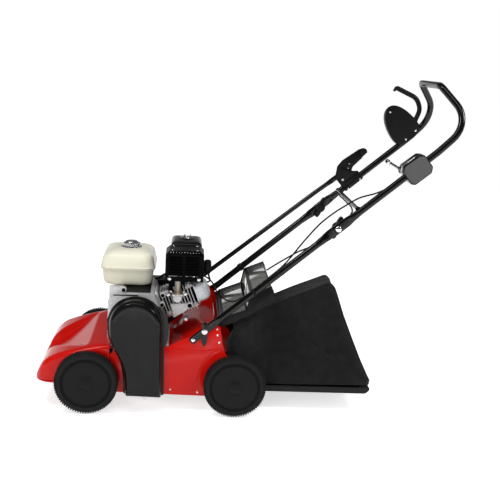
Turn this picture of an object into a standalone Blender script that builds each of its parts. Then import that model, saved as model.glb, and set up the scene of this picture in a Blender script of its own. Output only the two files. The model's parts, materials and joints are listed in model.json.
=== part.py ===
"""Petrol lawn scarifier, built as separate pieces at real size.

Metres, +Z up. The nose points to -X, the operator walks behind it at +X, and -Y is the machine's left.
Most places are given with x measured back from the front axle, through at().
"""
import math

import bmesh
import bpy
from mathutils import Matrix, Vector

# Driving dimensions
FRONT_AXLE_X = -0.486
WHEEL_RADIUS = 0.100
WHEEL_FACETS = 30
WHEEL_WIDTH = 0.042
WHEEL_Y = 0.250
WHEELBASE = 0.4655
AXLE_HEIGHT = WHEEL_RADIUS * math.cos(math.pi / WHEEL_FACETS)
AXLE_RADIUS = 0.008
AXLE_END_Y = 0.2615
PLATE_FACE_Y = 0.215
PLATE = 0.003
GAP = 0.0003

# Front axle crank and depth linkage
CRANK_PIVOT = (-0.0512, 0.109)
LEVER_PIVOT = (0.8393, 0.7119)
DEPTH_ARM = 0.018
ROD_KNEE = (0.360, 0.3404)
ROD_Y = 0.2200
ROD_RADIUS = 0.008
ARM_Y = (0.2165, 0.2213)

# Front hood
HOOD_NOSE = -0.166
HOOD_FOOT = 0.084

# Handle
TUBE_Y = 0.2123
TUBE_RADIUS = 0.011
FOLD_PIVOT = (0.7655, 0.6115)
HANDLE_FOOT = (0.331, 0.2395)
STRAP_BOLT = (0.3640, 0.2670)
UPPER_LEG_END = (1.060, 0.864)
TOP_BAR_HALF = 0.1254

# Rotor and belt drive
ROTOR = (0.180, 0.098)
ROTOR_RADIUS = 0.083
CRANK = (0.147, 0.282)
BELT_Y = -0.238
BELT_HALF_WIDTH = 0.006
BELT_THICKNESS = 0.008
ENGINE_PULLEY_RADIUS = 0.026
ROTOR_PULLEY_RADIUS = 0.029
IDLER_PIVOT = (0.162, 0.238)
IDLER_CENTRE = (0.1680, 0.196)
IDLER_RADIUS = 0.015

# Engine
ENGINE_BASE_Z = 0.1885
CYLINDER_LEAN = math.radians(22)
EXHAUST = (0.274, -0.1280)
EXHAUST_BASE_Z = 0.3630

COLOURS = {
    "red_paint": ((0.62, 0.03, 0.02), 0.22, 0.0),
    "black_paint": ((0.012, 0.012, 0.013), 0.30, 0.0),
    "black_plastic": ((0.018, 0.018, 0.020), 0.42, 0.0),
    "tyre_rubber": ((0.014, 0.014, 0.015), 0.75, 0.0),
    "hub_plastic": ((0.022, 0.022, 0.024), 0.50, 0.0),
    "cast_aluminium": ((0.60, 0.61, 0.62), 0.42, 1.0),
    "bright_steel": ((0.70, 0.70, 0.71), 0.25, 1.0),
    "cream_paint": ((0.82, 0.79, 0.66), 0.28, 0.0),
    "black_metal": ((0.015, 0.015, 0.016), 0.38, 0.3),
    "exhaust_steel": ((0.46, 0.38, 0.27), 0.45, 1.0),
    "bag_cloth": ((0.020, 0.020, 0.022), 0.85, 0.0),
    "belt_rubber": ((0.02, 0.02, 0.02), 0.80, 0.0),
    "cable_plastic": ((0.015, 0.015, 0.015), 0.45, 0.0),
}


def at(x, y, z):
    """A point whose x is measured back from the front axle."""
    return Vector((FRONT_AXLE_X + x, y, z))


def polar(centre, radius, degrees):
    """An (x, z) point at an angle up from +X about a centre."""
    angle = math.radians(degrees)
    return (centre[0] + radius * math.cos(angle), centre[1] + radius * math.sin(angle))


def material(name):
    """The named finish, made once."""
    found = bpy.data.materials.get(name)
    if found:
        return found
    colour, roughness, metallic = COLOURS[name]
    made = bpy.data.materials.new(name)
    made.use_nodes = True
    shader = made.node_tree.nodes["Principled BSDF"]
    shader.inputs["Base Color"].default_value = (*colour, 1)
    shader.inputs["Roughness"].default_value = roughness
    shader.inputs["Metallic"].default_value = metallic
    made.diffuse_color = (*colour, 1)
    return made


def piece(name, bm, finish, parent=None, sharp=35):
    """Turn a bmesh in world coordinates into a named object, under an empty if one is given."""
    bmesh.ops.recalc_face_normals(bm, faces=bm.faces)
    mesh = bpy.data.meshes.new(name)
    bm.to_mesh(mesh)
    bm.free()
    if parent:
        mesh.transform(parent.matrix_world.inverted())
    mesh.materials.append(material(finish))
    mesh.shade_smooth()
    mesh.set_sharp_from_angle(angle=math.radians(sharp))
    obj = bpy.data.objects.new(name, mesh)
    bpy.context.scene.collection.objects.link(obj)
    if parent:
        obj.parent = parent
    return obj


def pivot(name, place):
    """An empty on a joint's axis."""
    empty = bpy.data.objects.new(name, None)
    empty.location = place
    empty.empty_display_size = 0.03
    bpy.context.scene.collection.objects.link(empty)
    bpy.context.view_layer.update()
    return empty


def combine(first, second, operation):
    """First bmesh joined with, or cut by, the second one."""
    pair = []
    for name, bm in (("boolean_base", first), ("boolean_tool", second)):
        bmesh.ops.recalc_face_normals(bm, faces=bm.faces)
        mesh = bpy.data.meshes.new(name)
        bm.to_mesh(mesh)
        bm.free()
        obj = bpy.data.objects.new(name, mesh)
        bpy.context.scene.collection.objects.link(obj)
        pair.append(obj)
    base, tool = pair
    modifier = base.modifiers.new("boolean", "BOOLEAN")
    modifier.operation = operation
    modifier.solver = "EXACT"
    modifier.object = tool
    depsgraph = bpy.context.evaluated_depsgraph_get()
    result = bmesh.new()
    result.from_mesh(base.evaluated_get(depsgraph).to_mesh())
    for obj in pair:
        mesh = obj.data
        bpy.data.objects.remove(obj)
        bpy.data.meshes.remove(mesh)
    bmesh.ops.remove_doubles(result, verts=result.verts, dist=1e-6)
    return result


def cut(base, *tools):
    """Base with every tool cut away."""
    for tool in tools:
        base = combine(base, tool, "DIFFERENCE")
    return base


def union(base, *others):
    """One body out of shapes that overlap."""
    for other in others:
        base = combine(base, other, "UNION")
    return base


def prism(outline, y0, y1):
    """An (x, z) outline extruded across the machine from y0 to y1."""
    bm = bmesh.new()
    face = bm.faces.new([bm.verts.new(at(x, y0, z)) for x, z in outline])
    grown = bmesh.ops.extrude_face_region(bm, geom=[face])
    moved = [item for item in grown["geom"] if isinstance(item, bmesh.types.BMVert)]
    bmesh.ops.translate(bm, verts=moved, vec=(0, y1 - y0, 0))
    bmesh.ops.recalc_face_normals(bm, faces=bm.faces)
    return bm


def rounded(outline, radius, steps=3):
    """The outline with its corners turned into arcs; radius is one value or one for each corner."""
    radii = radius if isinstance(radius, (list, tuple)) else [radius] * len(outline)
    points = [Vector(p) for p in outline]
    result = []
    for index, corner in enumerate(points):
        before = points[index - 1] - corner
        after = points[(index + 1) % len(points)] - corner
        half = before.angle(after) / 2
        reach = radii[index] / math.tan(half)
        if radii[index] <= 0:
            result.append(tuple(corner))
            continue
        inward = (before.normalized() + after.normalized()).normalized()
        centre = corner + inward * radii[index] / math.sin(half)
        start = corner + before.normalized() * reach - centre
        end = corner + after.normalized() * reach - centre
        for step in range(steps + 1):
            spoke = start.normalized().slerp(end.normalized(), step / steps) * radii[index]
            result.append(tuple(centre + spoke))
    return result


def box(low, high, bevel=0.0, segments=2):
    """A box between two corners (x from the front axle), with rounded edges."""
    bm = bmesh.new()
    bmesh.ops.create_cube(bm, size=1)
    low, high = at(*low), at(*high)
    size = high - low
    bmesh.ops.scale(bm, verts=bm.verts, vec=size)
    bmesh.ops.translate(bm, verts=bm.verts, vec=(low + high) / 2)
    if bevel:
        bmesh.ops.bevel(
            bm, geom=bm.edges[:], offset=bevel, segments=segments, profile=0.5, affect="EDGES", material=-1
        )
    return bm


def turned(profile, centre, steps=24, axis="Y", phase=0.0):
    """A closed (radius, height) profile spun about an axis through the centre."""
    bm = bmesh.new()
    verts = [bm.verts.new((radius, height, 0)) for radius, height in profile]
    edges = [bm.edges.new((verts[i - 1], verts[i])) for i in range(len(verts))]
    bmesh.ops.spin(
        bm, geom=verts + edges, cent=(0, 0, 0), axis=(0, 1, 0), dvec=(0, 0, 0), angle=math.tau, steps=steps,
        use_merge=True, use_normal_flip=False,
    )
    bmesh.ops.remove_doubles(bm, verts=bm.verts, dist=1e-6)
    on_axis = [e for e in bm.edges if not e.link_faces]
    bmesh.ops.delete(bm, geom=on_axis, context="EDGES")
    bmesh.ops.rotate(bm, verts=bm.verts, cent=(0, 0, 0), matrix=Matrix.Rotation(phase, 3, "Y"))
    if axis == "Z":
        bmesh.ops.rotate(bm, verts=bm.verts, cent=(0, 0, 0), matrix=Matrix.Rotation(math.pi / 2, 3, "X"))
    if axis == "X":
        bmesh.ops.rotate(bm, verts=bm.verts, cent=(0, 0, 0), matrix=Matrix.Rotation(-math.pi / 2, 3, "Z"))
    bmesh.ops.translate(bm, verts=bm.verts, vec=centre)
    bmesh.ops.recalc_face_normals(bm, faces=bm.faces)
    return bm


def rod_y(place, radius, y0, y1, steps=16):
    """A round bar across the machine at an (x, z) place."""
    profile = [(0, y0), (radius, y0), (radius, y1), (0, y1)]
    return turned(profile, at(place[0], 0, place[1]), steps)


def loft(rings):
    """A solid skinned over rings of points, closed at both ends."""
    bm = bmesh.new()
    rows = [[bm.verts.new(p) for p in ring] for ring in rings]
    for row, following in zip(rows, rows[1:]):
        for i in range(len(row)):
            j = (i + 1) % len(row)
            bm.faces.new((row[i], row[j], following[j], following[i]))
    bm.faces.new(rows[0])
    bm.faces.new(rows[-1])
    bmesh.ops.recalc_face_normals(bm, faces=bm.faces)
    return bm


def rings_along(points, across, thick, sides, first_thick_axis):
    """Elliptic rings along a path. across and thick are half sizes for each point."""
    rings = []
    previous = None
    thick_axis = Vector(first_thick_axis)
    for index, point in enumerate(points):
        ahead = points[min(index + 1, len(points) - 1)]
        behind = points[max(index - 1, 0)]
        tangent = (ahead - behind).normalized()
        if previous is not None:
            thick_axis = previous.rotation_difference(tangent) @ thick_axis
        thick_axis = (thick_axis - tangent * thick_axis.dot(tangent)).normalized()
        side = tangent.cross(thick_axis)
        ring = []
        for k in range(sides):
            angle = math.tau * (k + 0.5) / sides
            wide = side * (across[index] * math.cos(angle))
            deep = thick_axis * (thick[index] * math.sin(angle))
            ring.append(point + wide + deep)
        rings.append(ring)
        previous = tangent
    return rings


def tube(points, radius, sides=10):
    """A round bar along a path."""
    size = [radius] * len(points)
    tangent = (points[1] - points[0]).normalized()
    start = Vector((0, 1, 0)) if abs(tangent.y) < 0.9 else Vector((0, 0, 1))
    return loft(rings_along(points, size, size, sides, start))


def bent_path(corners, radii, steps=5):
    """A path through 3-D corners with each inner corner turned into an arc."""
    path = [corners[0]]
    for index in range(1, len(corners) - 1):
        corner = corners[index]
        before = corners[index - 1] - corner
        after = corners[index + 1] - corner
        half = before.angle(after) / 2
        reach = radii[index - 1] / math.tan(half)
        start = corner + before.normalized() * reach
        end = corner + after.normalized() * reach
        centre = corner + (before.normalized() + after.normalized()).normalized() * (
            radii[index - 1] / math.sin(half)
        )
        first, last = (start - centre).normalized(), (end - centre).normalized()
        for step in range(steps + 1):
            path.append(centre + first.slerp(last, step / steps) * radii[index - 1])
    path.append(corners[-1])
    return path


def smooth_path(points, spacing):
    """Points read at even steps from a smooth curve through the given points."""
    dense = []
    last = len(points) - 1
    for index in range(last):
        p0 = points[max(index - 1, 0)]
        p1 = points[index]
        p2 = points[index + 1]
        p3 = points[min(index + 2, last)]
        for step in range(20):
            t = step / 20
            dense.append(
                0.5 * (2 * p1 + (p2 - p0) * t + (2 * p0 - 5 * p1 + 4 * p2 - p3) * t * t
                       + (3 * p1 - p0 - 3 * p2 + p3) * t ** 3)
            )
    dense.append(points[-1])
    length = sum((b - a).length for a, b in zip(dense, dense[1:]))
    count = max(2, round(length / spacing))
    result = [dense[0]]
    walked = 0.0
    for a, b in zip(dense, dense[1:]):
        step = (b - a).length
        while len(result) < count and walked + step >= length * len(result) / count:
            part = (length * len(result) / count - walked) / step
            result.append(a.lerp(b, part))
        walked += step
    result.append(dense[-1])
    return result


def on_handle(distance, above=0.0, y=TUBE_Y, lower=False):
    """A point along the handle tube from the fold pivot, and above its centre line."""
    start = FOLD_PIVOT
    toward = HANDLE_FOOT if lower else UPPER_LEG_END
    run = Vector((toward[0] - start[0], toward[1] - start[1])).normalized()
    sign = -1 if lower else 1
    up = Vector((-run.y, run.x)) * sign
    place = Vector(start) + run * distance + up * above
    return at(place.x, y, place.y)


def depth_pin(pivot_place):
    """Where the depth rod's pin sits from a pivot: square to the line between both pivots."""
    line = Vector(LEVER_PIVOT) - Vector(CRANK_PIVOT)
    across = Vector((-line.y, line.x)).normalized() * DEPTH_ARM
    return tuple(Vector(pivot_place) + across)


def make_wheels():
    """Four tyres and four hubs, each pair under an empty on its axle."""
    half = WHEEL_WIDTH / 2
    tyre = [
        (0.0790, -half + 0.003), (0.085, -half), (0.094, -half), (WHEEL_RADIUS, -half + 0.008),
        (WHEEL_RADIUS, half - 0.008), (0.094, half), (0.085, half), (0.0790, half - 0.003),
    ]
    hub = [
        (0, 0.0190), (0.012, 0.0190), (0.015, 0.0165), (0.0735, 0.0165), (0.0775, 0.0150),
        (0.0775, -0.015), (0.068, -0.015), (0.066, 0.006), (0.018, 0.006), (0.018, -0.0205),
        (0.0087, -0.0205), (0.0087, 0.0125), (0, 0.0125),
    ]
    for end, x in (("front", 0.0), ("rear", WHEELBASE)):
        for side, sign in (("left", -1), ("right", 1)):
            centre = at(x, sign * WHEEL_Y, AXLE_HEIGHT)
            empty = pivot(f"{end}_{side}_wheel_axis", centre)
            turn = math.pi / 2 - math.pi / WHEEL_FACETS
            outward = [(r, sign * h) for r, h in hub]
            piece(f"{end}_{side}_tyre", turned(tyre, centre, WHEEL_FACETS, phase=turn), "tyre_rubber", empty)
            piece(f"{end}_{side}_hub", turned(outward, centre, 20), "hub_plastic", empty)


def make_rear_axle():
    """Fixed shaft with a shoulder inside each wheel."""
    profile = []
    for sign in (-1, 1):
        steps = [(AXLE_RADIUS, AXLE_END_Y), (AXLE_RADIUS, 0.2288), (0.0125, 0.2288), (0.0125, 0.2158),
                 (AXLE_RADIUS, 0.2158)]
        if sign < 0:
            profile += [(0, -AXLE_END_Y)] + [(r, -y) for r, y in steps]
        else:
            profile += [(r, y) for r, y in reversed(steps)] + [(0, AXLE_END_Y)]
    piece("rear_axle", turned(profile, at(WHEELBASE, 0, AXLE_HEIGHT), 16), "bright_steel")


def arm_plate(start, end, width, y0, y1):
    """A flat link with round ends between two (x, z) places."""
    run = math.degrees(math.atan2(end[1] - start[1], end[0] - start[0]))
    outline = [polar(start, width, run + 90 + 30 * k) for k in range(7)]
    outline += [polar(end, width, run - 90 + 30 * k) for k in range(7)]
    return prism(outline, y0, y1)


def make_front_axle():
    """Cranked shaft: it turns in the side plates, and its ends carry the front wheels."""
    empty = pivot("front_axle_axis", at(CRANK_PIVOT[0], 0, CRANK_PIVOT[1]))
    spindle = (0.0, AXLE_HEIGHT)
    body = rod_y(CRANK_PIVOT, AXLE_RADIUS, -ARM_Y[1] + 0.001, ARM_Y[1] - 0.001)
    parts = []
    for sign in (-1, 1):
        parts.append(arm_plate(CRANK_PIVOT, spindle, 0.012, sign * ARM_Y[0], sign * ARM_Y[1]))
        parts.append(rod_y(spindle, 0.0115, sign * 0.2170, sign * 0.2288))
        parts.append(rod_y(spindle, AXLE_RADIUS, sign * 0.2180, sign * AXLE_END_Y))
    parts.append(arm_plate(CRANK_PIVOT, depth_pin(CRANK_PIVOT), 0.009, ARM_Y[0] + 0.0002, ARM_Y[1] - 0.0002))
    parts.append(rod_y(depth_pin(CRANK_PIVOT), 0.004, ARM_Y[0] + 0.001, 0.2280, 12))
    piece("front_axle", union(body, *parts), "bright_steel", empty)


def plate_outline(side):
    """A side plate's lower edge, wheel-side ends and stepped top; the right one is taller at its rear."""
    rear = [(0.413, 0.283), (0.400, 0.283)]
    if side == "right":
        rear = [(0.413, 0.283), (0.394, 0.2945), (0.383, 0.312), (0.364, 0.312)]
    return [
        (-0.080, 0.095), (-0.030, 0.062), (0.121, 0.055), (0.368, 0.050), (0.450, 0.055),
        (0.492, 0.080), (0.492, 0.118), (0.434, 0.194), (0.423, 0.226), *rear,
        (0.352, 0.262), (0.272, 0.225), (0.250, 0.2115), (0.046, 0.181), (-0.030, 0.150), (-0.080, 0.122),
    ]


def make_side_plates():
    """Left and right sides, with holes for both axles, the rotor and, on the left, the crankshaft."""
    for side, sign in (("left", -1), ("right", 1)):
        inner, outer = sign * (PLATE_FACE_Y - PLATE), sign * PLATE_FACE_Y
        plate = prism(rounded(plate_outline(side), 0.006, 2), inner, outer)
        through = (sign * 0.20, sign * 0.23)
        holes = [
            rod_y(CRANK_PIVOT, AXLE_RADIUS + 0.0006, *through),
            rod_y((WHEELBASE, AXLE_HEIGHT), AXLE_RADIUS + 0.0006, *through),
            rod_y(ROTOR, 0.0215, *through, steps=24),
        ]
        piece(f"{side}_side_plate", cut(plate, *holes), "red_paint")


def sheet_outline(line, thickness):
    """A bent sheet's closed outline, from its upper line and its thickness."""
    points = [Vector(p) for p in line]
    under = []
    for index, point in enumerate(points):
        directions = []
        if index > 0:
            directions.append((point - points[index - 1]).normalized())
        if index < len(points) - 1:
            directions.append((points[index + 1] - point).normalized())
        mean = sum(directions, Vector((0, 0))).normalized()
        normal = Vector((mean.y, -mean.x))
        stretch = 1 / max(0.4, normal.dot(Vector((directions[0].y, -directions[0].x))))
        under.append(point + normal * thickness * stretch)
    return [tuple(p) for p in points] + [tuple(p) for p in reversed(under)]


def make_engine_deck():
    """Bent sheet: wall ahead of the rotor, engine platform and the chute top rising to the flap hinge."""
    inner = PLATE_FACE_Y - PLATE - GAP
    line = [
        (0.0715, 0.062), (0.0715, 0.170), (0.0735, 0.182), (0.084, 0.188), (0.262, 0.188), (0.274, 0.196),
        (0.296, 0.218), (0.352, 0.2475), (0.398, 0.268),
    ]
    piece("engine_deck", prism(sheet_outline(line, PLATE), -inner, inner), "red_paint")


def hood_top(x, y):
    """Height of the hood: a flat wedge panel between two fender bulges."""
    panel = 0.203 + 0.575 * x
    crown_line = [
        (HOOD_NOSE, 0.0960), (-0.160, 0.112), (-0.151, 0.131), (-0.141, 0.146), (-0.120, 0.163),
        (-0.0885, 0.1765), (-0.053, 0.188), (0.0, 0.2015), (0.050, 0.2100),
    ]
    crown = crown_line[-1][1]
    for (x0, z0), (x1, z1) in zip(crown_line, crown_line[1:]):
        if x0 <= x <= x1:
            crown = z0 + (z1 - z0) * (x - x0) / (x1 - x0)
    panel = min(panel, crown + 0.002)
    half = max(0.028, 0.160 + 0.867 * x)
    rise = min(1.0, max(0.0, (abs(y) - half) / 0.042))
    rise = rise * rise * (3 - 2 * rise)
    return panel + (crown - panel) * rise


def hood_half_width(x):
    """Plan outline of the hood, with rounded nose corners."""
    reach = min(1.0, (x - HOOD_NOSE) / 0.060)
    return 0.166 + 0.0515 * math.sqrt(max(0.0, 1 - (1 - reach) ** 2))


def hood_side_bottom(x):
    """Lower edge of the hood's side wall, raised over the axle crank."""
    return HOOD_FOOT if x < -0.085 else 0.146


def make_front_hood():
    """Formed cover: a grid of rows from the nose back, with a wall down the front and both sides."""
    rows = [HOOD_NOSE, -0.161, -0.152, -0.140, -0.124, -0.107, -0.090, -0.078, -0.050, -0.005, 0.045]
    fractions = [0.0, 0.20, 0.40, 0.58, 0.74, 0.86, 0.93, 0.97, 1.0]
    columns = [-f for f in reversed(fractions)] + fractions[1:]
    bm = bmesh.new()
    grid = []
    first = [bm.verts.new(at(rows[0], c * hood_half_width(rows[0]), HOOD_FOOT)) for c in columns]
    grid.append([first[0]] + first + [first[-1]])
    for x in rows:
        half = hood_half_width(x)
        line = []
        for c in columns:
            top = hood_top(x, c * half)
            edge = max(0.0, (abs(c) - 0.86) / 0.14)
            drop = min(0.020, (top - HOOD_FOOT) / 3) * (1 - math.sqrt(max(0.0, 1 - edge * edge)))
            line.append(bm.verts.new(at(x, c * half, top - drop)))
        low = hood_side_bottom(x)
        left = bm.verts.new(at(x, -half, low))
        right = bm.verts.new(at(x, half, low))
        grid.append([left] + line + [right])
    for row, following in zip(grid, grid[1:]):
        for i in range(len(row) - 1):
            corners = [row[i], row[i + 1], following[i + 1], following[i]]
            unique = list(dict.fromkeys(corners))
            if len(unique) > 2:
                bm.faces.new(unique)
    bmesh.ops.remove_doubles(bm, verts=bm.verts, dist=1e-5)
    bmesh.ops.recalc_face_normals(bm, faces=bm.faces)
    if sum(face.normal.z for face in bm.faces) < 0:
        bmesh.ops.reverse_faces(bm, faces=bm.faces)
    hood = piece("front_hood", bm, "red_paint", sharp=50)
    wall = hood.modifiers.new("wall", "SOLIDIFY")
    wall.thickness = 0.0018
    wall.offset = -1.0


def make_rotor():
    """Shaft, knife stack and pulley, under an empty on the rotor axis."""
    empty = pivot("rotor_axis", at(ROTOR[0], 0, ROTOR[1]))
    end = BELT_Y - BELT_HALF_WIDTH - 0.0055
    shaft = [
        (0, end), (0.0075, end), (0.0075, -0.1950), (0.0145, -0.1950), (0.0145, 0.1950), (0.0100, 0.1950),
        (0.0100, 0.2185), (0, 0.2185),
    ]
    piece("rotor_shaft", turned(shaft, at(ROTOR[0], 0, ROTOR[1]), 12), "black_metal", empty)
    blades = []
    for index in range(10):
        y = -0.171 + 0.038 * index
        turn = 30 * index
        outline = []
        for arm in range(4):
            start = turn + 90 * arm
            outline += [
                polar(ROTOR, 0.026, start - 38), polar(ROTOR, ROTOR_RADIUS * 0.93, start - 9),
                polar(ROTOR, ROTOR_RADIUS, start + 3),
            ]
        blade = prism(outline, y - 0.0015, y + 0.0015)
        blades.append(cut(blade, rod_y(ROTOR, 0.0165, y - 0.01, y + 0.01, 10)))
        if index:
            blades.append(turned(
                [(0.0156, y - 0.0390), (0.0220, y - 0.0390), (0.0220, y + 0.0010), (0.0156, y + 0.0010)],
                at(ROTOR[0], 0, ROTOR[1]), 10,
            ))
    piece("knife_stack", union(*blades), "bright_steel", empty)
    piece("rotor_pulley", pulley(ROTOR, ROTOR_PULLEY_RADIUS, 0.0078), "cast_aluminium", empty)


def pulley(centre, groove, bore):
    """A belt pulley with a straight-sided groove in the belt's plane."""
    half = BELT_HALF_WIDTH + GAP
    rim = groove + BELT_THICKNESS * 0.7
    wide = half + 0.0035
    profile = [
        (bore, BELT_Y - wide), (rim, BELT_Y - wide), (rim, BELT_Y - half), (groove, BELT_Y - half),
        (groove, BELT_Y + half), (rim, BELT_Y + half), (rim, BELT_Y + wide), (bore, BELT_Y + wide),
    ]
    return turned(profile, at(centre[0], 0, centre[1]), 20)


def make_rotor_bearings():
    """One bearing in each side plate."""
    for side, sign in (("left", -1), ("right", 1)):
        bore = 0.0079 if sign < 0 else 0.0104
        profile = [
            (bore, sign * 0.1990), (0.0208, sign * 0.1990), (0.0208, sign * 0.2150), (bore, sign * 0.2150),
        ]
        piece(f"rotor_bearing_{side}", turned(profile, at(ROTOR[0], 0, ROTOR[1]), 16), "bright_steel")


def belt_loop(extra):
    """Outline of the belt at a distance outside both pulley grooves."""
    low, high = Vector(ROTOR), Vector(CRANK)
    r_low = ROTOR_PULLEY_RADIUS + extra
    r_high = ENGINE_PULLEY_RADIUS + extra
    span = high - low
    heading = math.degrees(math.atan2(span.y, span.x))
    lean = math.degrees(math.asin((r_low - r_high) / span.length))
    steps = 9
    start, end = heading - 90 + lean, heading + 90 - lean
    upper = [polar(CRANK, r_high, start + (end - start) * k / steps) for k in range(steps + 1)]
    start, end = heading + 90 - lean, heading + 270 + lean
    lower = [polar(ROTOR, r_low, start + (end - start) * k / steps) for k in range(steps + 1)]
    return upper + lower


def make_belt_drive():
    """Crankshaft end, engine pulley, belt, idler, cover and backplate."""
    shaft_axis = pivot("crankshaft_axis", at(CRANK[0], 0, CRANK[1]))
    end = BELT_Y - BELT_HALF_WIDTH - 0.0055
    shaft = [(0, end), (0.0095, end), (0.0095, -0.1515), (0.0125, -0.1515), (0.0125, -0.1390), (0, -0.1390)]
    piece("crankshaft", turned(shaft, at(CRANK[0], 0, CRANK[1]), 16), "bright_steel", shaft_axis)
    piece("engine_pulley", pulley(CRANK, ENGINE_PULLEY_RADIUS, 0.0098), "cast_aluminium", shaft_axis)

    outer = belt_loop(BELT_THICKNESS + 0.0006)
    inner = belt_loop(0.0006)
    low, high = BELT_Y - BELT_HALF_WIDTH, BELT_Y + BELT_HALF_WIDTH
    belt = cut(prism(outer, low, high), prism(inner, low - 0.01, high + 0.01))
    piece("drive_belt", belt, "belt_rubber")

    arm_axis = pivot("idler_arm_axis", at(IDLER_PIVOT[0], 0, IDLER_PIVOT[1]))
    arm = arm_plate(IDLER_PIVOT, IDLER_CENTRE, 0.009, -0.2262, -0.2222)
    wheel_pin = rod_y(IDLER_CENTRE, 0.004, -0.2245, -0.2440, 12)
    arm = union(arm, wheel_pin, rod_y(IDLER_PIVOT, 0.005, -0.2245, -0.2185, 12))
    piece("idler_arm", arm, "bright_steel", arm_axis)
    wheel = [
        (0.0043, BELT_Y - 0.0050), (IDLER_RADIUS, BELT_Y - 0.0050), (IDLER_RADIUS, BELT_Y + 0.0050),
        (0.0043, BELT_Y + 0.0050),
    ]
    wheel_axis = pivot("idler_pulley_axis", at(IDLER_CENTRE[0], 0, IDLER_CENTRE[1]))
    place = at(IDLER_CENTRE[0], 0, IDLER_CENTRE[1])
    piece("idler_pulley", turned(wheel, place, 20), "black_plastic", wheel_axis)


def cover_outline(grow):
    """The belt cover's face: a round lobe over the engine pulley and a straight leg over the rotor's."""
    lobe = (0.1475, 0.2855)
    points = [polar(lobe, 0.0785 + grow, a) for a in range(0, 181, 15)]
    points += [
        (0.0700 - grow, 0.262), (0.0735 - grow, 0.240), (0.0860 - grow, 0.210), (0.1000 - grow, 0.184),
        (0.1125 - grow, 0.156), (0.1195 - grow, 0.125), (0.1235 - grow, 0.063),
        (0.1280 - grow, 0.0585 - grow / 2),
        (0.2290 + grow, 0.0560 - grow / 2), (0.2320 + grow, 0.059),
    ]
    return points


def make_belt_cover():
    """Backplate on the side plate, and the deep moulded cover over the belt."""
    back_face = -PLATE_FACE_Y - GAP
    plate = prism(cover_outline(0.006), back_face, back_face - 0.0018)
    holes = [
        rod_y(ROTOR, 0.0125, -0.20, -0.24), rod_y(CRANK, 0.013, -0.20, -0.24),
        rod_y(IDLER_PIVOT, 0.0054, -0.20, -0.24),
    ]
    piece("belt_backplate", cut(plate, *holes), "black_paint")

    front = -0.2620
    seat = back_face - 0.0018 - GAP
    bulge = [(0.010, seat), (0.006, seat - 0.004), (0.004, seat - 0.006), (0.0025, seat - 0.026),
             (-0.001, seat - 0.036), (-0.008, front)]
    rings = [[at(x, y, z) for x, z in cover_outline(grow)] for grow, y in bulge]
    hollow = [(0.0020, seat + 0.01), (0.0010, seat - 0.006), (-0.0005, seat - 0.026), (-0.004, seat - 0.034),
              (-0.010, front + 0.0025)]
    inner = [[at(x, y, z) for x, z in cover_outline(grow)] for grow, y in hollow]
    piece("belt_cover", cut(loft(rings), loft(inner)), "black_plastic", sharp=40)


def along_cylinder(s, t):
    """An (x, z) place s along the leaning cylinder and t across it."""
    c, n = math.cos(CYLINDER_LEAN), math.sin(CYLINDER_LEAN)
    return (CRANK[0] + s * c - t * n, CRANK[1] + s * n + t * c)


def slab(s, half, y0, y1, chamfer=0.008):
    """A ring with cut corners, square to the cylinder's axis."""
    corners = [
        (-half + chamfer, y0), (half - chamfer, y0), (half, y0 + chamfer), (half, y1 - chamfer),
        (half - chamfer, y1), (-half + chamfer, y1), (-half, y1 - chamfer), (-half, y0 + chamfer),
    ]
    ring = []
    for t, y in corners:
        x, z = along_cylinder(s, t)
        ring.append(at(x, y, z))
    return ring


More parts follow.
